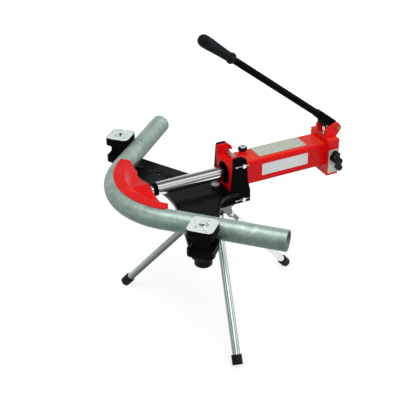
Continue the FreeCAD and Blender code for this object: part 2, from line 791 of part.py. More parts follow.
def build_tank():
    body = new_body("tank_casing")
    half = "tank_width / 2"

    def ring(inset):
        return [(f"{half} - {inset}", f"ram_height + tank_rise - {inset}"),
                (f"-({half} - {inset})", f"ram_height + tank_rise - {inset}"),
                (f"-({half} - {inset})", f"ram_height - tank_drop + {inset}"),
                (f"{half} - {inset}", f"ram_height - tank_drop + {inset}")]

    slab(body, "YZ_Plane", ring("0"), "tank_length", HEAD_REAR)
    soften(body, "Fillet", "tank_corner", lambda edge: along(edge, X))
    cut(body, "YZ_Plane", ring("tank_wall"))
    inner = size("tank_width") / 2 - size("tank_wall")
    soften(body, "Fillet", "tank_corner - tank_wall",
           lambda edge: along(edge, X) and abs(abs(edge.CenterOfMass.y) - inner) < 0.01)
    filler = (f"{HEAD_REAR} + filler_reach", "filler_side")
    drill(body, "XY_Plane", [filler], "cap_thread / 2 + seat_clearance", "3 * tank_wall",
          "ram_height + tank_rise", SideType="Symmetric")
    base = (filler[0], filler[1], "ram_height + tank_rise")
    thread = "cap_thread / 2 + seat_clearance"
    turned("filler_neck", [
        (thread, "0"), ("neck_diameter / 2 + neck_foot", "0"),
        ("neck_diameter / 2 + neck_foot", "neck_foot_height"),
        ("neck_diameter / 2", "neck_foot_height + neck_foot"),
        ("neck_diameter / 2", "neck_height"), (thread, "neck_height")], base)
    cap = "neck_height + cap_seal_height"
    turned("cap_seal", tube_profile("neck_diameter / 2", "cap_thread / 2", "neck_height", cap), base)
    turned("filler_cap", [
        ("0", f"{cap} - cap_thread_length"), ("cap_thread / 2", f"{cap} - cap_thread_length"),
        ("cap_thread / 2", cap), ("cap_diameter / 2 - edge_bevel", cap),
        ("cap_diameter / 2", f"{cap} + edge_bevel"),
        ("cap_diameter / 2", f"{cap} + cap_height - collar_bevel"),
        ("cap_diameter / 2 - collar_bevel", f"{cap} + cap_height"),
        ("0", f"{cap} + cap_height")], base)
    turned("vent_button", [
        ("0", f"{cap} + cap_height"), ("vent_diameter / 2", f"{cap} + cap_height"),
        ("vent_diameter / 2", f"{cap} + cap_height + vent_height - edge_bevel"),
        ("vent_diameter / 2 - edge_bevel", f"{cap} + cap_height + vent_height"),
        ("0", f"{cap} + cap_height + vent_height")], base)


# Pump block behind the tank, with the bores of plunger and release valve

def build_pump_block():
    body = new_body("pump_block")
    slab(body, "XZ_Plane", [
        (TANK_REAR, "ram_height - block_bottom"), (BLOCK_REAR, "ram_height - block_bottom"),
        (BLOCK_REAR, BLOCK_TOP), (f"{TANK_REAR} + block_bevel", BLOCK_TOP),
        (TANK_REAR, f"{BLOCK_TOP} - block_bevel")],
        "block_near + block_far", "-block_far")
    rear = size("head_front") + size("head_length") + size("tank_length") + size("block_length")
    soften(body, "Fillet", "block_bevel / 2",
           lambda edge: along(edge, Z) and abs(edge.CenterOfMass.x - rear) < 0.01)
    drill(body, "YZ_Plane", [("0", "ram_height")], BARREL_R, "rear_seat", TANK_REAR, Reversed=True)
    plunger = [(PLUNGER_X, "-lever_side")]
    drill(body, "XY_Plane", plunger, "plunger_diameter / 2 + running_clearance",
          "plunger_bore_depth", BLOCK_TOP)
    drill(body, "XY_Plane", plunger, "plunger_gland_diameter / 2", "plunger_gland_length", BLOCK_TOP)
    valve = [(f"{TANK_REAR} + valve_reach", "ram_height - valve_drop")]
    drill(body, "XZ_Plane", valve, "spindle_diameter / 2 + running_clearance", "valve_bore_depth", "block_near")


# Release valve: gland, spindle and two-lobed knob on the near side

def build_release_valve():
    reach = f"{TANK_REAR} + valve_reach"
    height = "ram_height - valve_drop"
    base = (reach, "-block_near", height)
    bore = "spindle_diameter / 2 + running_clearance"
    turned("release_gland", [
        (bore, "0"), ("valve_gland_diameter / 2", "0"),
        ("valve_gland_diameter / 2", "valve_gland_length - edge_bevel"),
        ("valve_gland_diameter / 2 - edge_bevel", "valve_gland_length"),
        (bore, "valve_gland_length")], base, -Y)
    knob_start = "valve_gland_length + knob_gap"
    turned("release_spindle", [
        ("0", "spindle_gap - valve_bore_depth"),
        ("spindle_diameter / 2 - spindle_taper", "spindle_gap - valve_bore_depth"),
        ("spindle_diameter / 2", "spindle_gap + spindle_taper - valve_bore_depth"),
        ("spindle_diameter / 2", f"{knob_start} + knob_thickness - 2 * knob_step"),
        ("0", f"{knob_start} + knob_thickness - 2 * knob_step")], base, -Y)
    body = new_body("release_knob")
    disc(body, "XZ_Plane", ("0", "0"), "knob_hub / 2", "knob_thickness")
    lobe = "(knob_span / 2 - knob_lobe / 2)"
    tilt = "(knob_tilt * 1deg)"

    def tilted(across, rise):
        return (f"({across}) * cos({tilt}) - ({rise}) * sin({tilt})",
                f"({across}) * sin({tilt}) + ({rise}) * cos({tilt})")

    for sign in ("", "-"):
        disc(body, "XZ_Plane", tilted("0", sign + lobe), "knob_lobe / 2",
             "knob_thickness - 2 * knob_step", "knob_step")
    waist = "knob_waist / 2"
    slab(body, "XZ_Plane", [tilted(waist, "-" + lobe), tilted(waist, lobe), tilted("-" + waist, lobe),
                            tilted("-" + waist, "-" + lobe)],
         "knob_thickness - 3 * knob_step", "1.5 * knob_step")
    drill(body, "XZ_Plane", [("0", "0")], "spindle_diameter / 2",
          "knob_thickness - 2 * knob_step", Reversed=True)
    place(body, (reach, f"-block_near - ({knob_start})", height))


# Hand pump: yoke, lever with its socket and grip, plunger and pins

def build_yoke():
    body = new_body("lever_yoke")
    wide = "ear_gap + 2 * yoke_wall"
    slab(body, "XZ_Plane", [
        (f"{TANK_REAR} + block_bevel", BLOCK_TOP), (f"{TANK_REAR} + block_bevel", f"{BLOCK_TOP} + yoke_front"),
        (f"{LEVER_X} - yoke_crown_front", f"{LEVER_Z} + yoke_crown"),
        (f"{LEVER_X} + yoke_crown_rear", f"{LEVER_Z} + yoke_crown"),
        (f"{LEVER_X} + pivot_eye * cos(45deg)", f"{LEVER_Z} + pivot_eye * sin(45deg)"),
        (f"{LEVER_X} + pivot_eye", f"{LEVER_Z} - pivot_eye / 3"),
        (BLOCK_REAR, BLOCK_TOP)],
        wide, f"lever_side - ({wide}) / 2")
    disc(body, "XZ_Plane", (LEVER_X, LEVER_Z), "pivot_eye", wide, f"lever_side - ({wide}) / 2")
    gap = "ear_gap / 2"
    slab(body, "XZ_Plane", [
        (TANK_REAR, BLOCK_TOP), (BLOCK_REAR, BLOCK_TOP), (BLOCK_REAR, f"{BLOCK_TOP} + yoke_base"),
        (TANK_REAR, f"{BLOCK_TOP} + yoke_base")],
        f"block_far + lever_side + {gap} + yoke_wall", "-block_far")
    cut(body, "XZ_Plane", [
        (f"{TANK_REAR} - yoke_wall", f"{BLOCK_TOP} + yoke_base"),
        (f"{BLOCK_REAR} + ear_gap", f"{BLOCK_TOP} + yoke_base"),
        (f"{BLOCK_REAR} + ear_gap", f"{LEVER_Z} + ear_gap"),
        (f"{TANK_REAR} - yoke_wall", f"{LEVER_Z} + ear_gap")],
        "ear_gap", f"lever_side + {gap}")
    drill(body, "XZ_Plane", [(LEVER_X, LEVER_Z)], "pivot_diameter / 2 + running_clearance")
    drill(body, "XY_Plane", [(PLUNGER_X, "-lever_side")], "plunger_gland_diameter / 2 + seat_clearance",
          "3 * yoke_base", f"{BLOCK_TOP} + 2 * yoke_base")
    half = "(ear_gap / 2 + yoke_wall)"
    near = f"(-{half} - pivot_head_length)"
    turned("lever_pivot_pin", [
        ("0", near), ("pivot_diameter / 2 - edge_bevel", near), ("pivot_diameter / 2", f"{near} + edge_bevel"),
        ("pivot_diameter / 2", half), ("pivot_diameter / 2 + pivot_head", half),
        ("pivot_diameter / 2 + pivot_head", f"{half} + pivot_head_length"),
        ("0", f"{half} + pivot_head_length")], (LEVER_X, "-lever_side", LEVER_Z), Y)


def lever_turn():
    """Rotation that lays a piece's own Z axis along the lever."""
    return FreeCAD.Rotation(Y, size("lever_angle") - 90)


def build_lever():
    pivot = (LEVER_X, "-lever_side", LEVER_Z)
    forward = size("plunger_forward")
    rise = size("plunger_pin_rise") - size("pivot_rise")
    angle = math.radians(size("lever_angle"))
    pin_along = forward * math.cos(angle) + rise * math.sin(angle)
    pin_below = forward * math.sin(angle) - rise * math.cos(angle)
    body = new_body("lever_socket")
    width = "(ear_gap - 2 * ear_play)"
    upper = "lever_offset + tube_diameter / 2 + socket_side"
    lower = "lever_offset - tube_diameter / 2 - socket_side"
    lug = f"{-pin_below} - socket_lug"
    slab(body, "XZ_Plane", [
        (upper, "pivot_eye"), (upper, "socket_end"), (lower, "socket_end"),
        (lower, "socket_end - tube_depth + cheek_thickness"),
        (lug, f"{pin_along} + slot_length * 0.7"), (lug, f"{pin_along} - slot_length / 3"),
        ("-pivot_eye * 0.8", "-pivot_eye * 0.6")],
        width, centred=True)
    disc(body, "XZ_Plane", ("0", "0"), "pivot_eye", width, centred=True)
    reach = "1.5 * socket_end"
    depth = "socket_end - tube_depth - tube_wall"
    corners = [("-" + reach, "-" + reach), (reach, "-" + reach), (reach, depth), ("-" + reach, depth)]
    cut(body, "XZ_Plane", corners,
        f"{width} - 2 * cheek_thickness", SideType="Symmetric")
    drill(body, "XZ_Plane", [("0", "0")], "pivot_diameter / 2 + running_clearance")
    slot = sketch_on(body, "XZ_Plane")
    near, far = (f"{-pin_below} {sign} slot_width / 2" for sign in "-+")
    start, end = (f"{pin_along} {sign} slot_length / 2" for sign in "-+")
    outline(slot, [(near, start), (far, start), (far, end), (near, end)])
    feature(body, "Pocket", slot)
    drill(body, "XY_Plane", [("lever_offset", "0")], "tube_diameter / 2 + seat_clearance",
          "tube_depth", "socket_end")
    place(body, pivot, lever_turn())
    tilt = "(90 - lever_angle) * 1deg"
    raised = (f"{LEVER_X} + lever_offset * cos({tilt})", "-lever_side",
              f"{LEVER_Z} + lever_offset * sin({tilt})")
    inner = "tube_diameter / 2 - tube_wall"
    tube = turned("lever_tube", tube_profile("tube_diameter / 2", inner, "socket_end - tube_depth",
                                             "grip_end - grip_cap - end_gap"), raised)
    place(tube, raised, lever_turn())
    grip_bore = "tube_diameter / 2 + seat_clearance"
    face = [(f"grip_diameter / 2 - {inset}", f"{end} + {distance}") for end, distance, inset in GRIP_SHAPE]
    grip = turned("lever_grip", [(grip_bore, "grip_start")] + face + [
        ("0", "grip_end"), ("0", "grip_end - grip_cap"), (grip_bore, "grip_end - grip_cap")], raised)
    place(grip, raised, lever_turn())


def build_plunger():
    base = (PLUNGER_X, "-lever_side", "ram_height")
    pin_z = "plunger_pin_rise"
    radius = "plunger_diameter / 2"
    top = f"{pin_z} + plunger_head"
    body = turned("pump_plunger", [
        ("0", f"{top} - plunger_length"), (f"{radius} - edge_bevel", f"{top} - plunger_length"),
        (radius, f"{top} + edge_bevel - plunger_length"), (radius, f"{top} - plunger_nose"),
        (f"{radius} - plunger_nose", top), ("0", top)], base)
    drill(body, "XZ_Plane", [("0", pin_z)], "plunger_pin_diameter / 2")
    half = "(ear_gap / 2 - 2 * ear_play)"
    turned("plunger_pin", tube_profile("plunger_pin_diameter / 2", "0", f"-{half}", half),
           (PLUNGER_X, "-lever_side", f"ram_height + {pin_z}"), Y)
    rim = "yoke_base + end_gap"
    turned("plunger_gland", [
        (f"{radius} + running_clearance", "-plunger_gland_length"),
        ("plunger_gland_diameter / 2", "-plunger_gland_length"), ("plunger_gland_diameter / 2", rim),
        ("plunger_gland_diameter / 2 - plunger_nose", f"{rim} + plunger_nose"),
        (f"{radius} + running_clearance", f"{rim} + plunger_nose")],
        (PLUNGER_X, "-lever_side", BLOCK_TOP))


# Tripod: plate under the frame, three sheet brackets and three folding legs

def build_tripod_head():
    turned("tripod_plate", tube_profile("tripod_plate_diameter / 2", "tripod_bolt / 2 + seat_clearance",
                                        "-tripod_plate_thickness", "0"), ("0", "0", TRIPOD_TOP))
    turned("tripod_spacer", tube_profile("spacer_diameter / 2", "tripod_bolt / 2 + seat_clearance",
                                         TRIPOD_TOP, WING_BOTTOM))
    body = new_body("tripod_bolt")
    nut = new_body("tripod_nut")
    under = TRIPOD_UNDER
    across = "tripod_bolt_head / 2"
    for item, start, thick in ((body, WING_TOP, "bolt_head_height"),
                               (nut, f"{under} - tripod_bolt * 0.8", "tripod_bolt * 0.8")):
        corners = [(f"{across} / cos(30deg) * cos({turn}deg)", f"{across} / cos(30deg) * sin({turn}deg)")
                   for turn in range(0, 360, 60)]
        slab(item, "XY_Plane", corners, thick, start)
    disc(body, "XY_Plane", ("0", "0"), "tripod_bolt / 2", f"{WING_TOP} - {under} + tripod_bolt",
         f"{under} - tripod_bolt")
    drill(nut, "XY_Plane", [("0", "0")], "tripod_bolt / 2")


def leg_point(distance, side):
    """Formulas of a point in a leg's plane: distance down its axis, side up and out from it."""
    tilt = "leg_tilt * 1deg"
    return (f"leg_pivot_radius + ({distance}) * sin({tilt}) + ({side}) * cos({tilt})",
            f"{LEG_Z} - ({distance}) * cos({tilt}) + ({side}) * sin({tilt})")


def build_bracket(label, turn):
    body = new_body("leg_bracket_" + label)
    inner = "(leg_diameter / 2 + bracket_clearance)"
    back = "leg_pivot_radius - bracket_back"
    head = f"{LEG_Z} + bracket_head"
    web = f"{back} + bracket_wall"
    slab(body, "XZ_Plane", [
        (back, TRIPOD_UNDER), ("leg_pivot_radius - bracket_crown", TRIPOD_UNDER), leg_point("0", "bracket_lip"),
        leg_point("bracket_reach", "bracket_lip"), leg_point("bracket_reach", "-bracket_lip"),
        leg_point("bracket_reach / 3", "-bracket_lip"), leg_point("bracket_wall", "-bracket_belly"),
        leg_point("-bracket_lip - bracket_wall", "-bracket_belly"), (back, head)],
        f"2 * ({inner} + bracket_wall)", centred=True)
    wide = "leg_pivot_radius + 2 * bracket_reach"
    cut(body, "XZ_Plane", [
        (web, TRIPOD_UNDER), (wide, TRIPOD_UNDER), (wide, f"{LEG_Z} - 2 * bracket_reach"),
        (f"-{web}", f"{LEG_Z} - 2 * bracket_reach"), (f"-{web}", head), (web, head)],
        f"2 * {inner}", SideType="Symmetric")
    drill(body, "XZ_Plane", [("leg_pivot_radius", LEG_Z)], "leg_bolt / 2 + seat_clearance")
    place(body, ("0", "0", "0"), FreeCAD.Rotation(Z, turn))


def build_leg(label, turn):
    """A leg tube and its rubber foot, cut flat where it meets the floor."""
    swing = FreeCAD.Rotation(Z, turn) * FreeCAD.Rotation(Y, 180 - size("leg_tilt"))
    at = (f"leg_pivot_radius * cos({turn}deg)", f"leg_pivot_radius * sin({turn}deg)", LEG_Z)
    tilt = "leg_tilt * 1deg"
    length = f"(({LEG_Z} - foot_diameter / 2 * sin({tilt}) + foot_flat) / cos({tilt}))"
    tube_end = f"{length} - foot_length + foot_cup"
    tube = turned("leg_tube_" + label, tube_profile("leg_diameter / 2", "leg_diameter / 2 - leg_wall",
                                                    "-leg_head", tube_end))
    drill(tube, "XZ_Plane", [("0", "0")], "leg_bolt / 2 + running_clearance")
    place(tube, at, swing)
    foot = new_body("leg_foot_" + label)
    disc(foot, "XY_Plane", ("0", "0"), "foot_diameter / 2", "foot_length", f"{length} - foot_length")
    drill(foot, "XY_Plane", [("0", "0")], "leg_diameter / 2", "foot_cup",
          f"{length} - foot_length", Reversed=True)
    floor_at = f"{LEG_Z} / cos({tilt})"
    across = "2 * foot_diameter"
    fall = f"{across} * tan({tilt})"
    cut(foot, "XZ_Plane", [
        ("-" + across, f"{floor_at} + {fall}"), ("-" + across, f"{floor_at} + 2 * {fall}"),
        (across, f"{floor_at} + 2 * {fall}"), (across, f"{floor_at} - {fall}")])
    place(foot, at, swing)


def build_leg_bolts(turns):
    """Three equal bolts with nuts, one through each bracket."""
    half = size("leg_diameter") / 2 + size("bracket_clearance") + size("bracket_wall")
    bolt_radius = size("leg_bolt") / 2
    head_radius = size("leg_bolt_head") / 2
    height = size("ram_height") - size("plate_bottom") - size("tripod_plate_thickness") - size("leg_pivot_drop")
    bolts = []
    for turn in turns:
        shank = Part.makeCylinder(bolt_radius, 2 * half + size("leg_bolt_overhang"), V(0, -half, 0), Y)
        head = Part.makeCylinder(head_radius, size("leg_bolt_head_height"), V(0, -half, 0), -Y)
        nut = Part.makeCylinder(head_radius, size("leg_nut_height"), V(0, half, 0), Y)
        bolt = shank.fuse([head, nut]).removeSplitter()
        bolt.rotate(V(0, 0, 0), Z, turn)
        angle = math.radians(turn)
        out = size("leg_pivot_radius")
        bolt.translate(V(out * math.cos(angle), out * math.sin(angle), height))
        bolts.append(bolt)
    item = doc.addObject("Part::Feature", "leg_bolts")
    item.Label = "leg_bolts"
    item.Shape = Part.makeCompound(bolts)
    PARTS.append(item)


# The whole bender

build_wing()
build_side_plate("side_plate_near", True)
build_side_plate("side_plate_far", False)
build_head()
build_cylinder()
build_former()
build_pipe()
build_support("near", -1)
build_support("far", 1)
build_cross_pin("upper_cross_pin", "ram_height + upper_pin_rise")
build_cross_pin("lower_cross_pin", "ram_height - lower_pin_drop")
build_clips()
build_tank()
build_pump_block()
build_release_valve()
build_yoke()
build_lever()
build_plunger()
build_tripod_head()
LEG_COUNT = int(size("leg_count"))
LEG_TURNS = [size("first_leg_turn") + 360 / LEG_COUNT * index for index in range(LEG_COUNT)]
for leg_label, leg_turn in zip(("rear", "far", "near"), LEG_TURNS):
    build_bracket(leg_label, leg_turn)
    build_leg(leg_label, leg_turn)
build_leg_bolts(LEG_TURNS)

doc.recompute()

for item in doc.Objects:
    if "Invalid" in item.State or "Error" in item.State:
        raise RuntimeError(f"{item.Label} was not made: {item.State}")
for item in PARTS:
    if item.Shape.isNull() or not item.Shape.isValid() or not item.Shape.Solids:
        raise RuntimeError(f"{item.Label} has no valid solid")

os.makedirs("parts", exist_ok=True)
for item in PARTS:
    item.Shape.exportStep(f"parts/{item.Label}.step")
    box = item.Shape.BoundBox
    print(f"{item.Label}: {len(item.Shape.Solids)} solid, volume {item.Shape.Volume:.0f} mm3, "
          f"x {box.XMin:.1f} to {box.XMax:.1f}, y {box.YMin:.1f} to {box.YMax:.1f}, "
          f"z {box.ZMin:.1f} to {box.ZMax:.1f}")
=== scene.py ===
"""Looks of a hydraulic pipe bender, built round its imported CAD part. Units are metres."""

import math

import bmesh
import bpy
from mathutils import Matrix, Vector


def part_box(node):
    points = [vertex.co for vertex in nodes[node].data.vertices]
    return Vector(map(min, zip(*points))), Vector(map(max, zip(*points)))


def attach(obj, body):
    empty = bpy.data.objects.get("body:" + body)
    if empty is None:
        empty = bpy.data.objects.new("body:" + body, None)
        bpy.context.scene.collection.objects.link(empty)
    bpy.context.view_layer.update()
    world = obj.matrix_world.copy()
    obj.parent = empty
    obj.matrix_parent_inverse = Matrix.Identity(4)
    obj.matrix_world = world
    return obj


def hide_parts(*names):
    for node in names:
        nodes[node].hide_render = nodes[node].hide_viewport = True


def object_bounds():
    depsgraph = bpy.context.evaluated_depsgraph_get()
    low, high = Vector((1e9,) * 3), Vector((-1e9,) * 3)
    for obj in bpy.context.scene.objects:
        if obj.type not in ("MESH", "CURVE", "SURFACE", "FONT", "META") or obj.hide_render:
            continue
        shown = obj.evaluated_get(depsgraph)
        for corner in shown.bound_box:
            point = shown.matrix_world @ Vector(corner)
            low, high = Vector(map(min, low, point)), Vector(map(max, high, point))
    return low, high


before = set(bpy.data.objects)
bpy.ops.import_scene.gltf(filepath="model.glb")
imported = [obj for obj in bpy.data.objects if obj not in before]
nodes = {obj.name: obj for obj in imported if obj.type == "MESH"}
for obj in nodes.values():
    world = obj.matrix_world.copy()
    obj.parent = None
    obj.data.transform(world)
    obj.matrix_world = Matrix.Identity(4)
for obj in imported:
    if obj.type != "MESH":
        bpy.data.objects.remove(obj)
cad_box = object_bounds()

# Places on the CAD part that pieces and finishes line up with

RAM_Z = 0.475
MOUTH_RADIUS = 0.0347
BLOCK_TOP_ABOVE_RAM = 0.0424
LEVER_TILT = math.radians(38.2)
LEVER_OFFSET = 0.003
LEVER_PIVOT = Vector((0.401, -0.010, 0.5555))
LEVER_WAY = Vector((-math.cos(LEVER_TILT), 0, math.sin(LEVER_TILT)))
LEVER_AXIS = LEVER_PIVOT + LEVER_OFFSET * Vector((math.sin(LEVER_TILT), 0, math.cos(LEVER_TILT)))
LEG_TURNS = {"rear": math.radians(14.9), "far": math.radians(134.9), "near": math.radians(254.9)}
LEG_PIVOT_OUT = 0.054
LEG_PIVOT_Z = 0.3213


# Short calls for nodes

def place_stops(elements, positions):
    """The elements of a fresh colour ramp, one at each of the rising positions."""
    elements[0].position, elements[1].position = positions[0], positions[-1]
    for position in positions[1:-1]:
        elements.new(position)


class Nodes:
    """A node tree, with short calls for the nodes that it needs."""

    def __init__(self, tree):
        self.tree = tree

    def feed(self, socket, value):
        """Link an input to an output, or give it a value. Colours come without their alpha."""
        if isinstance(value, bpy.types.NodeSocket):
            self.tree.links.new(value, socket)
        elif socket.type == "RGBA":
            socket.default_value = (*value, 1)
        else:
            socket.default_value = value

    def add(self, kind, inputs=None, **settings):
        node = self.tree.nodes.new(kind)
        for key, value in settings.items():
            setattr(node, key, value)
        for key, value in (inputs or {}).items():
            self.feed(node.inputs[key], value)
        return node

    def parts(self, vector):
        """The outputs X, Y and Z of a vector."""
        return self.add("ShaderNodeSeparateXYZ", {0: vector}).outputs

    def share(self, value, low, high=1.0):
        """How far a value is on its way from low to high, from 0 to 1."""
        return self.add("ShaderNodeMapRange", {"Value": value, "From Min": low,
                                               "From Max": high}).outputs[0]

    def ramp(self, factor, *stops):
        """A colour ramp from (position, colour or grey) stops."""
        node = self.add("ShaderNodeValToRGB", {"Fac": factor})
        place_stops(node.color_ramp.elements, [position for position, _ in stops])
        for element, (_, colour) in zip(node.color_ramp.elements, stops):
            element.color = (*colour, 1) if isinstance(colour, tuple) else (colour, colour, colour, 1)
        return node.outputs["Color"]

    def mix(self, factor, first, second, blend="MIX"):
        """Two colours mixed by a factor."""
        return self.add("ShaderNodeMix", {0: factor, 6: first, 7: second}, data_type="RGBA",
                        blend_type=blend).outputs[2]

    def maths(self, operation, *values):
        return self.add("ShaderNodeMath", dict(enumerate(values)), operation=operation).outputs[0]

    def distance(self, first, second):
        """The length of two offsets at a right angle."""
        return self.maths("SQRT", self.maths("ADD", self.maths("MULTIPLY", first, first),
                                             self.maths("MULTIPLY", second, second)))


class Shader(Nodes):
    """The nodes of one material, round its surface."""

    def __init__(self, name):
        self.name = name
        self.material = bpy.data.materials.new(name)
        self.material.use_nodes = True
        super().__init__(self.material.node_tree)
        self.surface = self.tree.nodes["Principled BSDF"]
        self.place = self.add("ShaderNodeTexCoord").outputs["Object"]

    def set(self, **values):
        """Values and links of the surface's sockets, by name with _ for spaces."""
        for key, value in values.items():
            self.feed(self.surface.inputs[key.replace("_", " ")], value)

    def cover(self, factor, colour):
        """Lay a colour over the surface's own, by a factor."""
        own = self.surface.inputs["Base Color"].links[0].from_socket
        self.set(Base_Color=self.mix(factor, own, colour))

    def stretched(self, scale):
        """Object coordinates, scaled by axis."""
        return self.add("ShaderNodeMapping", {"Vector": self.place, "Scale": scale}).outputs[0]

    def noise(self, scale, detail=4, roughness=0.55, at=None):
        return self.add("ShaderNodeTexNoise", {"Vector": at or self.place, "Scale": scale, "Detail": detail,
                                               "Roughness": roughness}).outputs["Fac"]

    def height(self, source, strength, distance, under):
        """A bump from a height, on top of another normal."""
        return self.add("ShaderNodeBump", {"Height": source, "Strength": strength, "Distance": distance,
                                           "Normal": under}).outputs["Normal"]

    def rounded(self, radius):
        """Normals of edges rounded by a radius."""
        return self.add("ShaderNodeBevel", {"Radius": radius}, samples=6).outputs["Normal"]

    def face(self):
        """The outputs X, Y and Z of the face's own normal."""
        return self.parts(self.add("ShaderNodeNewGeometry").outputs["True Normal"])

    def rise_of_face(self):
        """0 where a face looks down, 0.5 where it is upright and 1 where it looks up."""
        return self.share(self.face()["Z"], -1.0)

    def edges(self, rounding):
        """1 on sharp edges and 0 on flats, from how far the rounded normal leans away."""
        flat = self.add("ShaderNodeNewGeometry").outputs["Normal"]
        lean = self.add("ShaderNodeVectorMath", {0: rounding, 1: flat}, operation="DOT_PRODUCT")
        return self.ramp(lean.outputs["Value"], (0.72, 1.0), (0.97, 0.0))


# Finishes: colours are linear, and stops are (position, level)

RED, RED_DEEP, RED_PALE = (0.76, 0.004, 0.007), (0.66, 0.003, 0.006), (0.80, 0.010, 0.009)
# Colour of the paler red edges: partly paint rubbed thin, partly a painted highlight
RED_EDGE_WEAR_AND_HIGHLIGHT = (0.80, 0.22, 0.12)
# Paler, more orange red laid on faces that look up: a painted highlight
RED_LIT_TOP = (0.78, 0.040, 0.020)
# Black painted as shade in the mouth's recess round the ram
MOUTH_SHADE = (0.004, 0.004, 0.004)
# Painted shade on the flanks of the tripod bolt and nut
BOLT_FLANK_SHADE = (0.05, 0.05, 0.055)
# Painted shade on the ram where it enters the head's mouth
RAM_SHADE = (0.03, 0.03, 0.03)
# Where along X the painted shade on the ram, where it enters the head, starts and where it is full
RAM_SHADE_FROM, RAM_SHADE_TO = 0.008, 0.016
# How far round its middle a support block's top has extra pits
WEAR_REACH = 0.022


def paint(name, colour, deep, pale, roughness, gloss, peel, under, wear=0.35, top=None):
    """Sprayed paint with soft tone changes, orange peel, paler edges that are partly rubbed thin and partly
    a painted highlight, and perhaps a painted highlight on tops.
    """
    shader = Shader(name)
    rounding = shader.rounded(0.0012)
    tone = shader.ramp(shader.noise(7, 3), (0.32, deep), (0.5, colour), (0.72, pale))
    if top is not None:
        # Painted highlight: faces that look up turn to the paler, more orange red, as under light from
        # above.
        lit_top = shader.ramp(shader.rise_of_face(), (0.90, 0.0), (0.98, 1.0))
        tone = shader.mix(lit_top, tone, top)
    rub = shader.ramp(shader.noise(60, 5, 0.7), (0.40, 0.25), (0.62, 1.0))
    # Paler edges: partly paint rubbed thin, partly a painted highlight along the rounded edges.
    edges = shader.edges(shader.rounded(0.0028))
    worn_and_lit_edges = shader.maths("MULTIPLY", shader.maths("MULTIPLY", edges, rub), wear)
    dust = shader.ramp(shader.noise(34, 6, 0.65), (0.45, roughness * 0.85), (0.7, min(1, roughness * 1.3)))
    bumps = shader.height(shader.noise(900, 2), peel, 0.0006, rounding)
    shader.set(Base_Color=shader.mix(worn_and_lit_edges, tone, under), Roughness=dust, Normal=bumps,
               Specular_IOR_Level=gloss)
    return shader


def head_paint():
    """The red paint, duller, with the mouth round the ram painted black as shade in its recess."""
    shader = paint("head_paint", RED, RED_DEEP, RED_PALE, roughness=0.45, gloss=0.05, peel=0.012,
                   under=RED_EDGE_WEAR_AND_HIGHLIGHT)
    place = shader.parts(shader.place)
    from_axis = shader.distance(shader.maths("SUBTRACT", place["Z"], RAM_Z), place["Y"])
    # Painted shade: the mouth round the ram is painted black.
    shader.cover(shader.maths("LESS_THAN", from_axis, MOUTH_RADIUS), MOUTH_SHADE)
    return shader


def casting(name, colour, deep, pale, roughness, gloss):
    """Painted sand casting: paint over a grainy, slightly lumpy surface, with a painted highlight on its
    edges.
    """
    shader = Shader(name)
    rounding = shader.rounded(0.002)
    tone = shader.ramp(shader.noise(11, 4), (0.3, deep), (0.5, colour), (0.7, pale))
    # Painted highlight: edges are lightened towards the pale red.
    edge = shader.maths("MULTIPLY", shader.edges(rounding), 0.3)
    lumps = shader.height(shader.noise(55, 3), 0.16, 0.0012, rounding)
    grain = shader.height(shader.noise(420, 4, 0.7), 0.22, 0.0005, lumps)
    sheen = shader.ramp(shader.noise(26, 4), (0.4, roughness * 0.8), (0.7, min(1, roughness * 1.25)))
    shader.set(Base_Color=shader.mix(edge, tone, pale), Roughness=sheen, Normal=grain,
               Specular_IOR_Level=gloss)
    return shader


def metal(name, colour, dark, roughness, scale, grain=(1, 1, 1), metallic=1.0, bump=0.05, blotch=0.5,
          shade_by_rise=None):
    """Bare metal with fine lines or grain and a cloudy tone; the optional stops by the rise of the face
    paint shade into that tone.
    """
    shader = Shader(name)
    rounding = shader.rounded(0.0008)
    lines = shader.noise(scale, 4, 0.6, shader.stretched(grain))
    cloud = shader.ramp(shader.noise(30, 5, 0.6), (0.3, 0.0), (0.75, 1.0))
    tone = shader.mix(shader.maths("MULTIPLY", cloud, blotch), colour, dark)
    # Painted shade: the tone is darkened by which way the face looks.
    if shade_by_rise is not None:
        tone = shader.mix(1.0, tone, shader.ramp(shader.rise_of_face(), *shade_by_rise), "MULTIPLY")
    rough = shader.ramp(lines, (0.3, roughness * 0.75), (0.7, min(1, roughness * 1.35)))
    shader.set(Base_Color=tone, Metallic=metallic, Roughness=rough,
               Normal=shader.height(lines, bump, 0.0004, rounding))
    return shader


def chrome(name):
    """Polished chrome with faint lines along X."""
    return metal(name, (0.82, 0.83, 0.84), (0.74, 0.75, 0.77), roughness=0.07, scale=90, grain=(1, 60, 60),
                 bump=0.010, blotch=0.2)


def ram_chrome():
    """Chrome with painted shade where the ram enters the head."""
    shader = chrome("ram_chrome")
    # Painted shade: the ram darkens towards where it enters the head.
    shader.cover(shader.share(shader.parts(shader.place)["X"], RAM_SHADE_FROM, RAM_SHADE_TO), RAM_SHADE)
    return shader


def bolt_zinc():
    """Zinc with painted shade on the flanks, so that only the top stays bright."""
    shader = metal("bolt_zinc", (0.80, 0.81, 0.82), (0.62, 0.63, 0.64), roughness=0.35, scale=240,
                   metallic=0.4, bump=0.06, blotch=0.4)
    # Painted shade: faces that don't look up are darkened towards the flank colour.
    shader.cover(shader.ramp(shader.rise_of_face(), (0.80, 1.0), (0.95, 0.0)), BOLT_FLANK_SHADE)
    return shader


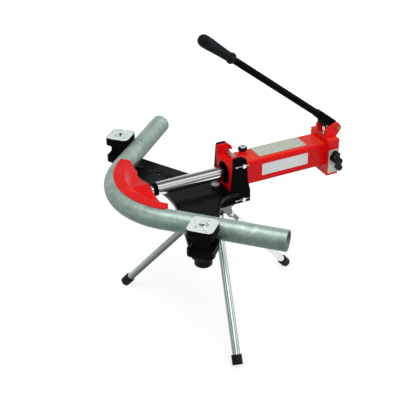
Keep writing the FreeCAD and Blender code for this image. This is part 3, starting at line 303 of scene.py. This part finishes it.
def galvanised_pipe():
    """Hot-dip zinc: frosted grain, chalky drifts, pale splashes, dark scuffs and painted shade on its
    underside.
    """
    shader = Shader("galvanised_pipe")
    drift = shader.noise(13, 6, 0.7)
    chalk = shader.ramp(drift, (0.34, (0.27, 0.36, 0.31)), (0.50, (0.37, 0.47, 0.41)),
                        (0.68, (0.46, 0.57, 0.51)))
    frost = shader.noise(170, 6, 0.75)
    grain = shader.ramp(frost, (0.36, 0.84), (0.5, 1.0), (0.64, 1.14))
    tone = shader.mix(1.0, chalk, grain, "MULTIPLY")
    splashes = shader.ramp(shader.noise(38, 5, 0.8), (0.57, 0.0), (0.66, 1.0))
    tone = shader.mix(shader.maths("MULTIPLY", splashes, 0.60), tone, (0.78, 0.88, 0.82))
    scuffs = shader.ramp(shader.noise(62, 5, 0.75), (0.60, 0.0), (0.67, 1.0))
    tone = shader.mix(shader.maths("MULTIPLY", scuffs, 0.60), tone, (0.16, 0.21, 0.19))
    # Painted shade: the zinc darkens the more a face looks down.
    underside_shade = shader.ramp(shader.rise_of_face(), (0.50, (0.30, 0.37, 0.34)), (0.90, (0.98, 1.0, 0.99)))
    tone = shader.mix(1.0, tone, underside_shade, "MULTIPLY")
    rough = shader.ramp(frost, (0.35, 0.34), (0.7, 0.5))
    lumps = shader.height(drift, 0.3, 0.0015, shader.rounded(0.001))
    shader.set(Base_Color=tone, Metallic=0.50, Roughness=rough, Specular_IOR_Level=0.5,
               Normal=shader.height(frost, 0.10, 0.0004, lumps))
    return shader


def rubber(name, colour, roughness, gloss, scale=320):
    """Matt moulded rubber or plastic with a fine grain and a dusty bloom."""
    shader = Shader(name)
    dusty = tuple(min(1, part * 2.1 + 0.004) for part in colour)
    bloom = shader.ramp(shader.noise(24, 5, 0.65), (0.35, colour), (0.75, dusty))
    rough = shader.ramp(shader.noise(60, 4), (0.35, roughness * 0.85), (0.7, min(1, roughness * 1.15)))
    shader.set(Base_Color=bloom, Roughness=rough, Specular_IOR_Level=gloss,
               Normal=shader.height(shader.noise(scale, 3), 0.18, 0.0004, shader.rounded(0.001)))
    return shader


def support_iron():
    """Support block: black cast sides, and a machined top that is pitted, most of all at its middle."""
    shader = Shader("support_iron")
    rounding = shader.rounded(0.0015)
    upward = shader.maths("GREATER_THAN", shader.face()["Z"], 0.9)
    place = shader.parts(shader.place)
    above = shader.maths("GREATER_THAN", place["Z"], RAM_Z + BLOCK_TOP_ABOVE_RAM)
    top = shader.maths("MULTIPLY", upward, above)
    low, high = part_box("support_block_far")
    centre = (low + high) / 2
    aside = shader.maths("SUBTRACT", shader.maths("ABSOLUTE", place["Y"]), abs(centre.y))
    along = shader.maths("SUBTRACT", place["X"], centre.x)
    reach = shader.maths("DIVIDE", shader.distance(aside, along), WEAR_REACH)
    middle = shader.ramp(reach, (0.35, 0.10), (1.0, 0.0))
    pits = shader.ramp(shader.maths("ADD", shader.noise(95, 5, 0.75), middle), (0.59, 0.0), (0.64, 1.0))
    frost = shader.ramp(shader.noise(320, 4, 0.7), (0.35, (0.64, 0.71, 0.69)), (0.6, (0.80, 0.88, 0.86)))
    bright = shader.mix(pits, frost, (0.05, 0.055, 0.055))
    cast = shader.ramp(shader.noise(20, 4), (0.35, (0.0010, 0.0010, 0.0012)),
                       (0.7, (0.0028, 0.0028, 0.0030)))
    grain = shader.height(shader.noise(300, 4, 0.7), 0.3, 0.0006, rounding)
    rough = shader.ramp(shader.noise(40, 4), (0.4, 0.40), (0.7, 0.55))
    shader.set(Base_Color=shader.mix(top, cast, bright), Metallic=shader.maths("MULTIPLY", top, 0.25),
               Roughness=rough, Normal=grain, Specular_IOR_Level=0.03)
    return shader


def label(name, colour, dark, roughness):
    """A bare aluminium plate with a fine rolled grain."""
    shader = Shader(name)
    rolled = shader.noise(170, 5, 0.75, shader.stretched((1, 5, 5)))
    tone = shader.ramp(rolled, (0.38, dark), (0.58, colour))
    shader.set(Base_Color=tone, Metallic=0.2, Roughness=roughness, Specular_IOR_Level=0.3,
               Normal=shader.height(rolled, 0.03, 0.0003, shader.rounded(0.0005)))
    return shader


SHADERS = [
    paint("red_paint", RED, RED_DEEP, RED_PALE, roughness=0.28, gloss=0.14, peel=0.012, under=RED_EDGE_WEAR_AND_HIGHLIGHT,
          top=RED_LIT_TOP),
    head_paint(),
    casting("red_casting", (0.72, 0.006, 0.008), (0.64, 0.004, 0.007), (0.78, 0.022, 0.018),
            roughness=0.34, gloss=0.12),
    paint("black_paint", (0.0024, 0.0026, 0.0034), (0.0016, 0.0017, 0.0024), (0.0042, 0.0045, 0.0060),
          roughness=0.26, gloss=0.12, peel=0.006, wear=0.3, under=(0.12, 0.13, 0.15)),
    paint("plate_paint", (0.0020, 0.0021, 0.0028), (0.0014, 0.0015, 0.0020), (0.0034, 0.0036, 0.0048),
          roughness=0.34, gloss=0.02, peel=0.006, wear=0.3, under=(0.07, 0.08, 0.09)),
    support_iron(),
    casting("pin_iron", (0.002, 0.002, 0.0025), (0.0015, 0.0015, 0.002), (0.005, 0.005, 0.0055),
            roughness=0.38, gloss=0.07),
    ram_chrome(),
    chrome("chrome"),
    paint("black_steel", (0.0018, 0.0023, 0.0021), (0.0012, 0.0016, 0.0015), (0.004, 0.0045, 0.0045),
          roughness=0.34, gloss=0.02, peel=0.02, wear=0.15, under=(0.05, 0.05, 0.06)),
    metal("steel", (0.50, 0.50, 0.50), (0.34, 0.34, 0.34), roughness=0.3, scale=200, grain=(1, 8, 8)),
    metal("zinc", (0.72, 0.73, 0.74), (0.52, 0.53, 0.54), roughness=0.24, scale=240, bump=0.06),
    metal("yellow_zinc", (0.30, 0.20, 0.07), (0.14, 0.09, 0.03), roughness=0.35, scale=240, bump=0.06,
          blotch=0.6),
    bolt_zinc(),
    # Far leg, brackets and plate: painted shade, darker the more a face looks down.
    metal("leg_zinc", (0.52, 0.60, 0.565), (0.40, 0.47, 0.44), roughness=0.15, scale=60, grain=(18, 18, 1),
          bump=0.015, blotch=0.4, shade_by_rise=[(0.24, 0.08), (0.40, 0.22), (0.60, 0.42), (0.82, 1.0)]),
    # Rear leg: a paler copy of the leg zinc standing in for light, with painted shade on faces that look
    # up.
    metal("leg_zinc_rear_painted_light", (0.78, 0.84, 0.81), (0.62, 0.69, 0.66), roughness=0.15, scale=60,
          grain=(18, 18, 1), bump=0.015, blotch=0.4, shade_by_rise=[(0.60, 1.0), (0.76, 0.80), (0.87, 0.15)]),
    # Near leg: a copy of the leg zinc with its own tone and no painted shade, standing in for how light
    # falls on it.
    metal("leg_zinc_near_painted_light", (0.31, 0.36, 0.335), (0.22, 0.27, 0.25), roughness=0.22, scale=60,
          grain=(18, 18, 1), bump=0.008, blotch=0.4),
    galvanised_pipe(),
    metal("bronze", (0.55, 0.36, 0.16), (0.38, 0.24, 0.10), roughness=0.3, scale=200, grain=(1, 8, 8)),
    rubber("rubber", (0.003, 0.0035, 0.0035), roughness=0.45, gloss=0.12),
    rubber("grip_rubber", (0.0015, 0.0035, 0.0048), roughness=0.45, gloss=0.10),
    rubber("plastic", (0.002, 0.002, 0.0025), roughness=0.30, gloss=0.16, scale=500),
    label("label_grey", (0.70, 0.76, 0.66), (0.36, 0.40, 0.33), roughness=0.42),
    label("label_white", (0.78, 0.80, 0.79), (0.62, 0.64, 0.63), roughness=0.38),
]
LOOKS = {shader.name: shader.material for shader in SHADERS}
NODE_LOOKS = {
    "black_paint": "wing_plate",
    "plate_paint": "side_plate_near side_plate_far",
    "red_paint": "tank_casing filler_neck pump_block lever_yoke",
    "head_paint": "pump_head",
    "red_casting": "bending_former",
    "support_iron": "support_block_near support_block_far",
    "pin_iron": "support_pin_near support_pin_far",
    "ram_chrome": "ram_rod",
    "chrome": "pump_plunger",
    "black_steel": "ram_collar gland_nut lever_socket lever_tube release_gland",
    "steel": "cylinder_barrel piston piston_nut plunger_gland plunger_pin release_spindle",
    "zinc": "upper_cross_pin lower_cross_pin pin_clips leg_bolts vent_button",
    "yellow_zinc": "lever_pivot_pin",
    "bolt_zinc": "tripod_bolt tripod_nut",
    "leg_zinc": "leg_tube_far leg_bracket_rear leg_bracket_far leg_bracket_near tripod_plate tripod_spacer",
    "leg_zinc_rear_painted_light": "leg_tube_rear",
    "leg_zinc_near_painted_light": "leg_tube_near",
    "galvanised_pipe": "sample_pipe",
    "bronze": "ram_bush",
    "rubber": "wiper_seal piston_seal cap_seal leg_foot_rear leg_foot_far leg_foot_near",
    "grip_rubber": "lever_grip",
    "plastic": "release_knob filler_cap",
}
for look, names in NODE_LOOKS.items():
    for name in names.split():
        mesh = nodes[name].data
        mesh.materials.clear()
        mesh.materials.append(LOOKS[look])


# Mesh helpers

RIM_SEGMENTS = 3
RIM_ANGLE = math.radians(35)


def add_piece(name, bm, look, body, at=None, smooth=True, bevel=0.0):
    """A mesh piece that rides on a body, with a finish."""
    if at is not None:
        bmesh.ops.transform(bm, matrix=at, verts=bm.verts)
    bmesh.ops.recalc_face_normals(bm, faces=bm.faces)
    mesh = bpy.data.meshes.new(name)
    bm.to_mesh(mesh)
    bm.free()
    for polygon in mesh.polygons:
        polygon.use_smooth = smooth
    mesh.materials.append(LOOKS[look])
    piece = bpy.data.objects.new(name, mesh)
    bpy.context.scene.collection.objects.link(piece)
    if bevel:
        rim = piece.modifiers.new("rim", "BEVEL")
        rim.width, rim.segments = bevel, RIM_SEGMENTS
        rim.limit_method, rim.angle_limit = "ANGLE", RIM_ANGLE
    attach(piece, body)
    return piece


def add_skin(bm, rings, closed=False):
    """Faces from each ring of points to the next, and back to the first or over both ends."""
    pairs = list(zip(rings, rings[1:]))
    if closed:
        pairs.append((rings[-1], rings[0]))
    for lower, upper in pairs:
        for index in range(len(lower)):
            following = (index + 1) % len(lower)
            bm.faces.new((lower[index], lower[following], upper[following], upper[index]))
    if not closed:
        bm.faces.new(rings[0])
        bm.faces.new(rings[-1])


def turned(profile, steps=64, wave=None):
    """A lathe shape about Z from (radius, height) points; wave(turn, row) scales the radius."""
    bm = bmesh.new()
    rings = []
    for row, (radius, level) in enumerate(profile):
        ring = []
        for step in range(steps):
            turn = 2 * math.pi * step / steps
            reach = radius * (wave(turn, row) if wave else 1)
            ring.append(bm.verts.new((reach * math.cos(turn), reach * math.sin(turn), level)))
        rings.append(ring)
    add_skin(bm, rings)
    return bm


def pose(at, way, side=None):
    """A matrix that puts local Z along a way, at a place."""
    z_axis = Vector(way).normalized()
    if side is None:
        side = (0, 0, 1) if abs(z_axis.z) < 0.9 else (1, 0, 0)
    y_axis = z_axis.cross(Vector(side)).normalized()
    x_axis = y_axis.cross(z_axis)
    turned_by = Matrix((x_axis, y_axis, z_axis)).transposed().to_4x4()
    return Matrix.Translation(Vector(at)) @ turned_by


# Pieces that the CAD part leaves to the scene

def add_grip():
    """Ribbed rubber sleeve with a flared collar and a rounded end; lengths run from the lever's pivot."""
    start, end = 0.447, 0.577
    bore, full, bulb, pole = 0.01075, 0.0170, 0.0183, 0.0008
    collar = [(0.0018, 0.0006), (0.0002, 0.003), (0, 0.008), (0.0012, 0.012), (0.0032, 0.015)]
    ribs, rib_depth, steps_per_rib = 15, 0.0011, 8
    ribbed_from, ribbed_to = start + 0.016, end - 0.034
    waist, growth, growth_power = full - 0.0030, 0.0042, 1.4
    tip_from, tip_length, tip_steps, tip_power = end - 0.022, 0.0215, 8, 0.55
    shoulder = 0.006

    profile = [(bore, start)]
    profile += [(full - inset, start + along) for inset, along in collar]
    samples = ribs * steps_per_rib
    for index in range(samples + 1):
        share = index / samples
        swell = max(0.0, math.cos(2 * math.pi * index / steps_per_rib)) ** 0.5
        radius = waist + growth * share ** growth_power - rib_depth * swell
        profile.append((radius, ribbed_from + (ribbed_to - ribbed_from) * share))
    profile.append((bulb, tip_from - shoulder))
    for index in range(1, tip_steps):
        turn = math.pi / 2 * index / tip_steps
        profile.append((bulb * math.cos(turn) ** tip_power, tip_from + tip_length * math.sin(turn)))
    profile.append((pole, tip_from + tip_length))
    piece = add_piece("grip_sleeve", turned(profile, steps=56), "grip_rubber", "lever",
                      pose(LEVER_AXIS, LEVER_WAY, (0, 1, 0)))
    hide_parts("lever_grip")


def add_cap():
    """The filler cap's knurled ring, and the dished crown of its vent button."""
    low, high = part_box("filler_cap")
    centre = (low + high) / 2
    on_axis = Matrix.Translation((centre.x, centre.y, 0))
    outer, ring_height = (high.x - low.x) / 2, 0.010
    base = high.z - ring_height
    ring = [(0.0012, 0), (0, 0.0008), (0, 0.003), (0, 0.006), (0, 0.0086), (0.0016, 0.0099),
            (0.004, 0.0099)]
    teeth, steps_per_tooth, tooth_depth = 36, 6, 0.035
    toothed_rows = range(1, 5)

    def knurl(turn, row):
        if row not in toothed_rows:
            return 1
        return 1 - tooth_depth * (0.5 + 0.5 * math.cos(teeth * turn))

    profile = [(outer - inset, base + rise) for inset, rise in ring]
    piece = add_piece("cap_knurl", turned(profile, teeth * steps_per_tooth, knurl), "plastic", "filler",
                      on_axis, smooth=False)
    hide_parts("filler_cap")

    button_low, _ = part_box("vent_button")
    dish = [(0.0098, 0), (0.0098, 0.0018), (0.0086, 0.0028), (0.0062, 0.0029), (0.0052, 0.0022),
            (0.0006, 0.0021)]
    profile = [(radius, button_low.z + rise) for radius, rise in dish]
    crown = add_piece("cap_crown", turned(profile, steps=48), "zinc", "filler", on_axis)
    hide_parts("vent_button")


def add_plate(name, look, centre, up, width, height):
    """A thin bare plate with round corners and a sunk line inside its edge, lying on a face along X."""
    thickness, corner, corner_steps = 0.0005, 0.0025, 5
    line_from, line_to, line_bank = 0.0016, 0.0028, 0.0002
    line_floor = thickness * 0.6
    bm = bmesh.new()
    outline = []
    for quarter in range(4):
        corner_x = (width / 2 - corner) * (1 if quarter in (0, 3) else -1)
        corner_y = (height / 2 - corner) * (1 if quarter in (0, 1) else -1)
        for step in range(corner_steps + 1):
            turn = math.pi / 2 * (quarter + step / corner_steps)
            outline.append((corner_x + corner * math.cos(turn), corner_y + corner * math.sin(turn)))
    rings = []
    section = [(0, 0), (0, thickness), (line_from, thickness), (line_from + line_bank, line_floor),
               (line_to - line_bank, line_floor), (line_to, thickness)]
    for inset, level in section:
        scale_x, scale_y = 1 - 2 * inset / width, 1 - 2 * inset / height
        rings.append([bm.verts.new((x * scale_x, y * scale_y, level)) for x, y in outline])
    add_skin(bm, rings)
    across = Vector((1, 0, 0))
    turn = Matrix((across, Vector(up), across.cross(Vector(up)))).transposed().to_4x4()
    add_piece(name, bm, look, "frame", Matrix.Translation(centre) @ turn, smooth=False)


def add_plates():
    """The bare label plates on the tank's top and side and on the pump block."""
    tank_low, tank_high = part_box("tank_casing")
    block_low, block_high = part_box("pump_block")
    block_x = (block_low.x + block_high.x) / 2 - 0.001
    skin = 0.0001
    back, up = (0, 1, 0), (0, 0, 1)
    add_plate("top_label", "label_grey", (0.2195, 0.0065, tank_high.z + skin), back, width=0.165,
              height=0.060)
    add_plate("side_label", "label_white", (0.217, tank_low.y - skin, RAM_Z + 0.0015), up, width=0.160,
              height=0.038)
    add_plate("block_label", "label_grey", (block_x, block_low.y - skin, RAM_Z - 0.019), up, width=0.031,
              height=0.080)


def add_bead(name, points, radius, look, closed=False):
    """A rippled weld bead that follows a line of points."""
    ripple, ripple_share, steps_per_ripple, sides = 0.0022, 0.14, 3, 10
    path = [Vector(point) for point in points]
    if closed:
        path.append(path[0])
    samples = []
    for start, end in zip(path, path[1:]):
        count = max(2, int((end - start).length / (ripple / steps_per_ripple)))
        samples += [start.lerp(end, index / count) for index in range(count)]
    if not closed:
        samples.append(path[-1])
    turns = [2 * math.pi * step / sides for step in range(sides)]
    bm = bmesh.new()
    rings = []
    travelled = 0.0
    last = len(samples) - 1
    for index, at in enumerate(samples):
        ahead = samples[(index + 1) % len(samples) if closed else min(index + 1, last)]
        behind = samples[index - 1 if closed else max(index - 1, 0)]
        way = (ahead - behind).normalized()
        side = way.cross(Vector((0, 0, 1)))
        side = side.normalized() if side.length > 0.1 else Vector((1, 0, 0))
        rise = side.cross(way).normalized()
        travelled += (at - samples[index - 1]).length if index else 0
        swell = radius * (1 + ripple_share * abs(math.sin(math.pi * travelled / ripple)))
        rings.append([bm.verts.new(at + swell * (side * math.cos(turn) + rise * math.sin(turn)))
                      for turn in turns])
    add_skin(bm, rings, closed)
    add_piece(name, bm, look, "frame")


def add_neck_weld():
    """A bead round the foot of the filler neck."""
    radius, bead, count = 0.0140, 0.0013, 48
    low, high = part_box("filler_neck")
    centre = (low + high) / 2
    turns = [2 * math.pi * step / count for step in range(count)]
    points = [(centre.x + radius * math.cos(turn), centre.y + radius * math.sin(turn), low.z)
              for turn in turns]
    add_bead("neck_weld", points, bead, "red_paint", closed=True)


def add_wing_welds():
    """Short beads between the side plates and the wing plate, near its underside."""
    start, end, below_top, bead = 0.026, 0.044, 0.010, 0.0022
    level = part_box("wing_plate")[1].z - below_top
    near_low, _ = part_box("side_plate_near")
    _, far_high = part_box("side_plate_far")
    for name, outer in (("near", near_low.y), ("far", far_high.y)):
        add_bead(f"wing_weld_{name}", [(start, outer, level), (end, outer, level)], bead, "black_paint")


def add_bracket_welds():
    """Two beads along each leg bracket, under the tripod's plate."""
    start, end, aside, bead = 0.026, 0.040, 0.0152, 0.0012
    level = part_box("tripod_plate")[0].z
    for name, turn in LEG_TURNS.items():
        out = Vector((math.cos(turn), math.sin(turn), 0))
        side = Vector((-math.sin(turn), math.cos(turn), 0))
        for hand, edge in (("left", -aside), ("right", aside)):
            points = [out * reach + side * edge + Vector((0, 0, level)) for reach in (start, end)]
            add_bead(f"bracket_weld_{name}_{hand}", points, bead, "leg_zinc")


def hexagon(across, thickness):
    """A hexagon head or nut: six flats and a bevelled outer face."""
    flats, chamfer, crown = 6, 0.12, 0.9
    reach = across / 2 / math.cos(math.pi / flats)
    profile = [(reach, 0), (reach, thickness * (1 - chamfer)), (reach * crown, thickness)]
    return turned(profile, steps=flats)


def washer(radius, bore, thickness):
    """A flat ring with its outer edges rounded."""
    rim = 0.0003
    profile = [(bore, 0), (radius - rim, 0), (radius, rim), (radius, thickness - rim),
               (radius - rim, thickness), (bore, thickness)]
    return turned(profile, steps=40)


def add_bolts():
    """Hexagon heads, nuts, washers and shanks of the legs' pivot bolts."""
    half_bracket, shaft, core = 0.0150, 0.0040, 0.0006
    flats, head_height, nut_height, rim = 0.0122, 0.0044, 0.0052, 0.0003
    washer_radius, washer_thickness, sunk = 0.0078, 0.0007, 0.0001
    seat = half_bracket + washer_thickness - sunk
    shank_end, shank_round, shank_taper = 2 * half_bracket + 0.0096, 0.0008, 0.0007
    shank = [(core, 0), (shaft, 0), (shaft, shank_end - shank_round), (shaft - shank_taper, shank_end),
             (core, shank_end)]
    for name, turn in LEG_TURNS.items():
        side = Vector((-math.sin(turn), math.cos(turn), 0))
        pivot = Vector((LEG_PIVOT_OUT * math.cos(turn), LEG_PIVOT_OUT * math.sin(turn), LEG_PIVOT_Z))
        head = add_piece(f"leg_bolt_head_{name}", hexagon(flats, head_height), "zinc", "frame",
                         pose(pivot - side * seat, -side), smooth=False, bevel=rim)
        add_piece(f"leg_bolt_nut_{name}", hexagon(flats, nut_height), "zinc", "frame",
                  pose(pivot + side * seat, side), smooth=False, bevel=rim)
        for end, way in (("head", -side), ("nut", side)):
            add_piece(f"leg_washer_{end}_{name}", washer(washer_radius, shaft, washer_thickness), "zinc",
                      "frame", pose(pivot + way * half_bracket, way))
        add_piece(f"leg_bolt_shank_{name}", turned(shank, steps=32), "zinc", "frame",
                  pose(pivot - side * half_bracket, side))
    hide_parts("leg_bolts")


# Camera, matched to the photograph

IMAGE_WIDTH = 400
SENSOR = 36.0
FOCAL_PIXELS = 885.9
CAMERA_PLACE = (-1.0304, -2.0701, 1.7646)
AZIMUTH, ELEVATION, ROLL = (math.radians(value) for value in (-25.3, 30.8, -0.9))


def add_camera():
    """The camera that took the photograph, as fitted to the object's outlines."""
    back = Vector((math.sin(AZIMUTH) * math.cos(ELEVATION), -math.cos(AZIMUTH) * math.cos(ELEVATION),
                   math.sin(ELEVATION)))
    right = Vector((math.cos(AZIMUTH), math.sin(AZIMUTH), 0))
    up = back.cross(right)
    rolled_right = right * math.cos(ROLL) + up * math.sin(ROLL)
    rolled_up = up * math.cos(ROLL) - right * math.sin(ROLL)
    data = bpy.data.cameras.new("camera")
    data.sensor_width = SENSOR
    data.sensor_fit = "HORIZONTAL"
    data.lens = FOCAL_PIXELS * SENSOR / IMAGE_WIDTH
    camera = bpy.data.objects.new("camera", data)
    bpy.context.scene.collection.objects.link(camera)
    turn = Matrix((rolled_right, rolled_up, back)).transposed().to_4x4()
    camera.matrix_world = Matrix.Translation(CAMERA_PLACE) @ turn
    bpy.context.scene.camera = camera


# Lamps, world and floor

LAMP_TARGET = Vector((0.0, 0.0, 0.45))
# Lamps farther aside than this have their width along Y, and others along X
SIDE_LAMPS_FROM = 1.5
# Name, place, width and height, and brightness
LAMPS = [
    ("key", (-0.22, -2.52, 2.42), (2.2, 1.3), 3.9),
    ("overhead", (-0.60, 0.10, 2.80), (1.6, 1.4), 3.5),
    ("side", (2.70, -1.40, 1.00), (1.6, 1.2), 2.4),
    ("fill", (-2.60, -0.60, 1.30), (1.4, 1.2), 1.6),
]


def add_lamp(name, place, size, brightness):
    """A soft box that faces the object, with its width level; brightness is what a mirror shows of it."""
    data = bpy.data.lights.new(name, "AREA")
    data.shape = "RECTANGLE"
    data.size, data.size_y = size
    data.energy = math.pi * size[0] * size[1] * brightness
    lamp = bpy.data.objects.new(name, data)
    bpy.context.scene.collection.objects.link(lamp)
    level = (0, 1, 0) if abs(place[0]) > SIDE_LAMPS_FROM else (1, 0, 0)
    lamp.matrix_world = pose(place, Vector(place) - LAMP_TARGET, level)


# Grey that reflections see by degrees from the back horizon over the top to the front
STUDIO_BANDS = [(0, 0.90), (28, 0.55), (45, 0.25), (60, 0.13), (78, 0.13), (88, 0.32), (98, 0.75),
                (107, 0.98), (116, 0.98), (126, 0.50), (137, 0.42), (143, 0.50), (150, 0.85), (157, 0.80),
                (166, 0.40), (174, 0.15), (180, 0.07)]
# Share of that grey from the left at -1 to the right at 1, and the bright wall at the right
STUDIO_SIDES = [(-1.0, 0.45), (-0.3, 0.85), (0.3, 1.0), (1.0, 0.9)]
STUDIO_RIGHT = [(0.45, 0.0), (0.56, 0.98)]
# Light that matt surfaces get from all round
STUDIO_FILL = (0.42, 0.43, 0.44)
WHITE = (1, 1, 1)


def add_world():
    """A white world to the camera, an even grey to matt surfaces and a banded studio to reflections."""
    world = bpy.data.worlds.new("studio")
    bpy.context.scene.world = world
    world.use_nodes = True
    sky = Nodes(world.node_tree)
    sky.tree.nodes.clear()
    way = sky.parts(sky.add("ShaderNodeTexCoord").outputs["Generated"])
    angle = sky.maths("ARCTAN2", sky.maths("ABSOLUTE", way["Z"]), way["Y"])
    over = sky.maths("DIVIDE", angle, math.pi)
    across = sky.share(way["X"], -1.0)
    bands = sky.ramp(over, *((degrees / 180, grey) for degrees, grey in STUDIO_BANDS))
    sides = sky.ramp(across, *((reach / 2 + 0.5, grey) for reach, grey in STUDIO_SIDES))
    right = sky.ramp(across, *((reach / 2 + 0.5, grey) for reach, grey in STUDIO_RIGHT))
    studio = sky.mix(1.0, sky.mix(1.0, bands, sides, "MULTIPLY"), right, "LIGHTEN")
    rays = sky.add("ShaderNodeLightPath").outputs
    seen = sky.mix(rays["Is Glossy Ray"], STUDIO_FILL, studio)
    for kind in ("Is Camera Ray", "Is Transmission Ray"):
        seen = sky.mix(rays[kind], seen, WHITE)
    light = sky.add("ShaderNodeBackground", {0: seen})
    sky.add("ShaderNodeOutputWorld", {0: light.outputs[0]})


FLOOR_CORNERS = [(-4.5, -1.3), (4.5, -1.3), (4.5, 6.5), (-4.5, 6.5)]
FLOOR_GAP = 0.0005
FLOOR_GREY = [(0.3, 0.35), (0.7, 0.37)]
# What the floor adds to its lit grey for the camera and reflections, by distance as a share of GLOW_REACH
GLOW_REACH = 4.0
GLOW = [(0.15, 0.74), (0.5, 1.0)]


def add_floor():
    """A pale floor that reads as white and keeps the object's shadow."""
    shader = Shader("studio_floor")
    shader.set(Base_Color=shader.ramp(shader.noise(3, 2), *FLOOR_GREY), Roughness=0.9,
               Specular_IOR_Level=0.1)
    rays = shader.add("ShaderNodeLightPath").outputs
    reach = shader.add("ShaderNodeVectorMath", {0: shader.place}, operation="LENGTH").outputs["Value"]
    level = shader.ramp(shader.maths("DIVIDE", reach, GLOW_REACH), *GLOW)
    glow = shader.add("ShaderNodeEmission", {"Color": level, "Strength": 1.0})
    nothing = shader.add("ShaderNodeEmission", {"Strength": 0.0})
    seen = shader.maths("MAXIMUM", rays["Is Camera Ray"], rays["Is Glossy Ray"])
    seen = shader.maths("MAXIMUM", seen, rays["Is Transmission Ray"])
    lift = shader.add("ShaderNodeMixShader", {0: seen, 1: nothing.outputs[0], 2: glow.outputs[0]})
    total = shader.add("ShaderNodeAddShader", {0: shader.surface.outputs[0], 1: lift.outputs[0]})
    shader.feed(shader.tree.nodes["Material Output"].inputs["Surface"], total.outputs[0])
    mesh = bpy.data.meshes.new("floor")
    mesh.from_pydata([(x, y, 0) for x, y in FLOOR_CORNERS], [], [range(len(FLOOR_CORNERS))])
    mesh.materials.append(shader.material)
    floor = bpy.data.objects.new("floor", mesh)
    floor.location.z = cad_box[0][2] - FLOOR_GAP
    bpy.context.scene.collection.objects.link(floor)


add_grip()
add_cap()
add_plates()
add_neck_weld()
add_wing_welds()
add_bracket_welds()
add_bolts()
add_camera()
add_world()
add_floor()
for name, place, size, brightness in LAMPS:
    add_lamp(name, place, size, brightness)

bpy.context.scene.view_settings.view_transform = "Standard"
